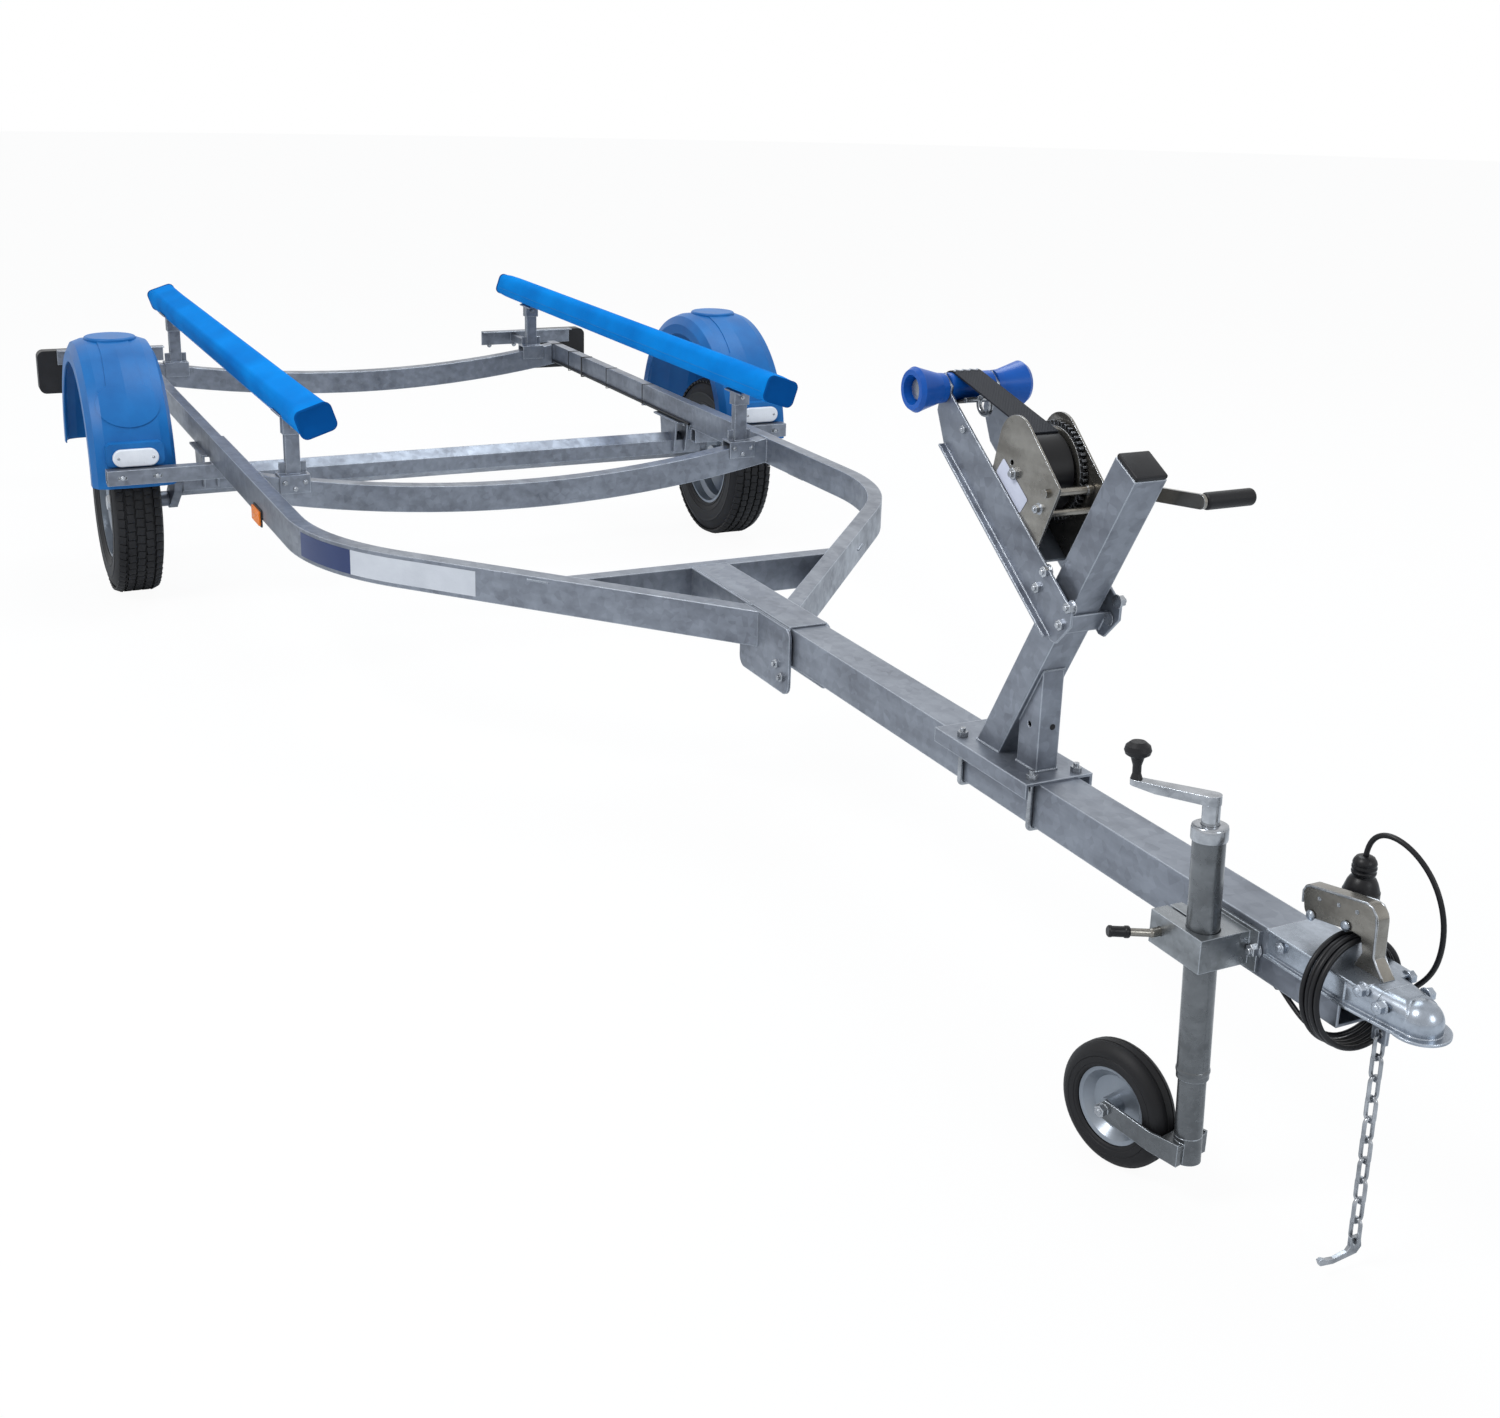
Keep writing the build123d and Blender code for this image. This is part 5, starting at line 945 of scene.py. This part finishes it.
# ----------------------------------------------------------------------
# Jockey wheel: a zinc-plated tube in a split clamp on the drawbar, with a screw inside that the top crank
# turns. The small wheel below is a pressed rim with a solid black rubber tyre.

tube_zinc = metal_finish("tube_zinc", (0.075, 0.08, 0.085), (0.17, 0.18, 0.19), 0.8, 120.0, 6.0, 0.08, 0.1,
                         0.2, 0.36, edge=0.002)
coat(tube_zinc, "jack_tube", "jack_stem", "jockey_fork")
clamp_zinc = metal_finish("clamp_zinc", (0.11, 0.118, 0.125), (0.33, 0.35, 0.37), 0.8, 120.0, 8.0, 0.06, 0.08,
                          0.22, 0.38, edge=0.002)
coat(clamp_zinc, "jack_clamp")
coat(bright_zinc, "jack_crank")
coat(winch_zinc, "clamp_lever")
coat(black_plastic, "jack_knob")
JOCKEY_TYRE = both_sides(
    ((0.0625, -0.0210), (0.0655, -0.0235), (0.0690, -0.0236), (0.0700, -0.0246), (0.0780, -0.0250),
     (0.0788, -0.0242), (0.0800, -0.0250), (0.0850, -0.0249), (0.0900, -0.0222), (0.0945, -0.0185),
     (0.0975, -0.0145), (0.0992, -0.0110), (0.0996, -0.0085), (0.0982, -0.0078), (0.0982, -0.0066),
     (0.1000, -0.0058)), (0.0620, 0.0))
joint_list = frame["record"]["behaviour"]["joints"]
jockey_spin = next(joint for joint in joint_list if joint["name"] == "jockey_spin")
jockey_at = Vector(jockey_spin["pos_m"])
jockey_way = Vector(jockey_spin["axis"]).normalized()
jockey_place = facing(jockey_at, jockey_way)
jockey_rubber = spun("jockey_rubber", JOCKEY_TYRE, 72)
jockey_rubber.matrix_world = jockey_place
settle(jockey_rubber, tyre_rubber, body="jockey_wheel_body", sharp=30, place=Matrix())
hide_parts("jockey_tyre")

NUT_OUT = 0.0405
nut_spots = [jockey_place @ Matrix.Translation((0, 0, side * NUT_OUT)) @ Matrix.Rotation(turn, 4, "X")
             for side, turn in ((-1, math.pi), (1, 0))]
axle_nuts = repeated(hex_bolt(0.017, 0.010, 0.003), "jockey_axle_nuts", nut_spots)
settle(axle_nuts, bright_zinc, body="jockey_fork_body", sharp=30, place=Matrix())

# Bolts of the clamp plate on the drawbar, and the black sleeve pushed on the clamp's lever.
PLATE_BOLTS = ((3.988, -0.0486, 0.496), (4.076, -0.0486, 0.496))
settle(bolt_row("jack_clamp_bolts", (0.017, 0.012, 0.004), PLATE_BOLTS), bright_zinc, sharp=30)
LEVER_GRIP_FROM = Vector((3.9655, -0.1835, 0.4995))
LEVER_GRIP_TO = Vector((3.9560, -0.2135, 0.5025))
grip_length = (LEVER_GRIP_TO - LEVER_GRIP_FROM).length
sleeve_outline = ((0.0052, 0.0), (0.0085, 0.0), (0.0092, 0.001), (0.0092, 0.006), (0.0080, 0.0075),
                  (0.0080, grip_length - 0.006), (0.0088, grip_length - 0.004), (0.0088, grip_length - 0.001),
                  (0.0070, grip_length + 0.001), (0.0, grip_length + 0.001))
lever_sleeve = spun("lever_sleeve", sleeve_outline, 24)
lever_sleeve.matrix_world = facing(LEVER_GRIP_FROM, LEVER_GRIP_TO - LEVER_GRIP_FROM)
settle(lever_sleeve, black_rubber)

# Cap pressed on the tube's top, where the crank comes out, and the ring rolled at its foot.
jack_lean = (Matrix.Translation((4.032, -0.104, 0.496)) @ turned(-3, "Y")
             @ Matrix.Translation((0, 0, -0.496)))
jack_cap = spun("jack_cap", ((0.0241, 0.656), (0.0262, 0.657), (0.0268, 0.660), (0.0268, 0.6745),
                             (0.0255, 0.6785), (0.0235, 0.6795), (0.0140, 0.6795), (0.0138, 0.6780),
                             (0.0240, 0.6775)), 40)
jack_cap.matrix_world = jack_lean
settle(jack_cap, bright_zinc, sharp=50)
foot_ring = spun("tube_foot_ring", ((0.0241, 0.294), (0.0250, 0.2955), (0.0253, 0.298), (0.0250, 0.3005),
                                    (0.0241, 0.302)), 40)
foot_ring.matrix_world = jack_lean
settle(foot_ring, tube_zinc)

# ----------------------------------------------------------------------
# Ball coupling: a pressed steel shell bolted on the drawbar with a cast ball cup welded at its front,
# zinc plated and passivated. The plug of the lead parks in a black holder beside it.

coupling_zinc = metal_finish("coupling_zinc", (0.15, 0.17, 0.2), (0.48, 0.53, 0.6), 0.8, 170.0, 9.0, 0.05,
                             0.08, 0.18, 0.34, edge=0.003)
coat(coupling_zinc, "coupling_head", "coupling_cup")
coat(winch_zinc, "coupling_handle")
coat(bright_zinc, "safety_chain", "chain_hook")
coat(black_plastic, "plug_holder")
COUPLING_BOLTS = ((4.128, 0.0446, 0.524), (4.277, 0.0446, 0.534), (4.312, 0.0446, 0.526))
coupling_bolts = bolt_row("coupling_bolts", (0.016, 0.0105, 0.003), mirrored(COUPLING_BOLTS))
settle(coupling_bolts, coupling_zinc, sharp=30)
HANDLE_RIVETS = ((4.141, 0.0119, 0.574), (4.206, 0.0119, 0.588))
rivet = spun("rivet", ((0.0, 0.0), (0.0078, 0.0), (0.0076, 0.0014), (0.0055, 0.0036), (0.0, 0.0044)), 18)
handle_rivets = row_of(rivet, "handle_rivets", mirrored(HANDLE_RIVETS))
settle(handle_rivets, coupling_zinc, sharp=50)


def bar_along(name, points, radius):
    """A round bar bent through the points."""
    bar = chain_of_points(name, points)
    bpy.ops.object.mode_set(mode="OBJECT")
    bpy.ops.object.convert(target="CURVE")
    bar = bpy.context.object
    bar.data.bevel_depth = radius
    bar.data.bevel_resolution = 2
    bar.data.use_fill_caps = True
    bpy.ops.object.convert(target="MESH")
    return bpy.context.object


# Edge bead rolled round the pressed handle, and the pips punched in its sides.
HANDLE_EDGE = ((4.1215, 0.586), (4.1205, 0.603), (4.1250, 0.6115), (4.1340, 0.6150), (4.2080, 0.6300),
               (4.2360, 0.6358), (4.2475, 0.6340), (4.2560, 0.6250), (4.2582, 0.6120), (4.2602, 0.5660),
               (4.2680, 0.5555), (4.2790, 0.5440))
HANDLE_PIPS = ((4.152, 0.604), (4.188, 0.611), (4.222, 0.616))
beads = []
for side in (-1, 1):
    beads.append(bar_along("bead", [(x, side * 0.0099, z) for x, z in HANDLE_EDGE], 0.0017))
    for x, z in HANDLE_PIPS:
        pip = spun("pip", ((0.0, 0.0), (0.0034, 0.0), (0.0030, 0.0010), (0.0014, 0.0004), (0.0, 0.0004)), 16)
        pip.matrix_world = facing((x, side * 0.0100, z), (0, side, 0))
        beads.append(pip)
handle_beads = joined("handle_beads", beads)
settle(handle_beads, bright_zinc, sharp=50)

# ----------------------------------------------------------------------
# Rear lamps: black moulded housings bolted on the lamp boards, each behind a lens of three fields that
# faces the road behind: amber at the outside, red in the middle and clear inside.

lamp_plastic = plain_finish("lamp_plastic", (0.006, 0.006, 0.007), (0.016, 0.016, 0.018), 500.0, 0.25, 0.42)
coat(lamp_plastic, "lamp_housings")


def lens_finish(name):
    """Ribbed lens: amber beyond 1.04 m from the middle, red to 0.96 m, then clear."""
    paint, tree, shader = shader_of(name, 0.0, 0.16)
    place = node_in(tree, "TexCoord")
    axes = node_in(tree, "SeparateXYZ")
    outwards = node_in(tree, "Math", operation="ABSOLUTE")
    reach = node_in(tree, "MapRange", {"From Min": 0.86, "From Max": 1.13})
    colour = ramp_node(tree, ((0.0, (0.7, 0.7, 0.72)), (0.36, (0.5, 0.012, 0.012)), (0.68, (0.8, 0.2, 0.01))))
    colour.color_ramp.interpolation = "CONSTANT"
    ribs = node_in(tree, "TexWave", {"Scale": 30.0}, bands_direction="Z")
    relief = node_in(tree, "Bump", {"Strength": 0.4, "Distance": 0.0015})
    wire(tree, (place, "Object", axes, 0), (axes, "Y", outwards, 0), (outwards, 0, reach, "Value"),
         (reach, "Result", colour, "Fac"), (colour, 0, shader, "Base Color"),
         (place, "Object", ribs, "Vector"), (ribs, "Fac", relief, "Height"),
         (relief, "Normal", shader, "Normal"))
    return paint


lens_fields = lens_finish("lens_fields")
coat(lens_fields, "lamp_lenses")
LAMP_BOARD_BOLTS = ((-1.6057, 0.690, 0.446), (-1.6057, 0.800, 0.446))
lamp_bolts = bolt_row("lamp_bolts", (0.013, 0.010, 0.003), mirrored(LAMP_BOARD_BOLTS), (1, 0, 0))
settle(lamp_bolts, bright_zinc, sharp=30)

# Wiring: a stiff black conduit along the left rail's inner face holds the lamps' wires. Three nylon ties
# and two wraps of tape strap it to the telescoping rail.
TIES = (
    # x, width along the rail, thickness
    (-1.060, 0.014, 0.0016),
    (-0.867, 0.005, 0.0014),
    (-0.725, 0.012, 0.0016),
    (-0.468, 0.005, 0.0014),
    (-0.120, 0.005, 0.0014),
)
CONDUIT_R = 0.0048
CONDUIT_BENDS = (-1.135, -1.060, -0.468, 0.060, 0.285)
conduit = bar_along("wire_conduit", [(x, 0.7750, 0.4665) for x in CONDUIT_BENDS], CONDUIT_R)
settle(conduit, black_rubber, sharp=50)
ties = []
for x, width, thick in TIES:
    tie = block_of("tie", (width, 0.0440, 0.0736 + 2 * thick))
    bpy.ops.transform.translate(value=(x, 0.7920, 0.4955))
    pick_faces(tie, lambda middle, normal: abs(normal.x) > 0.9)
    bpy.ops.mesh.inset(thickness=thick)
    bpy.ops.mesh.delete(type="FACE")
    apply_modifier(tie, "SOLIDIFY", thickness=thick, offset=-1)
    ties.append(tie)
settle(joined("conduit_ties", ties), black_plastic)
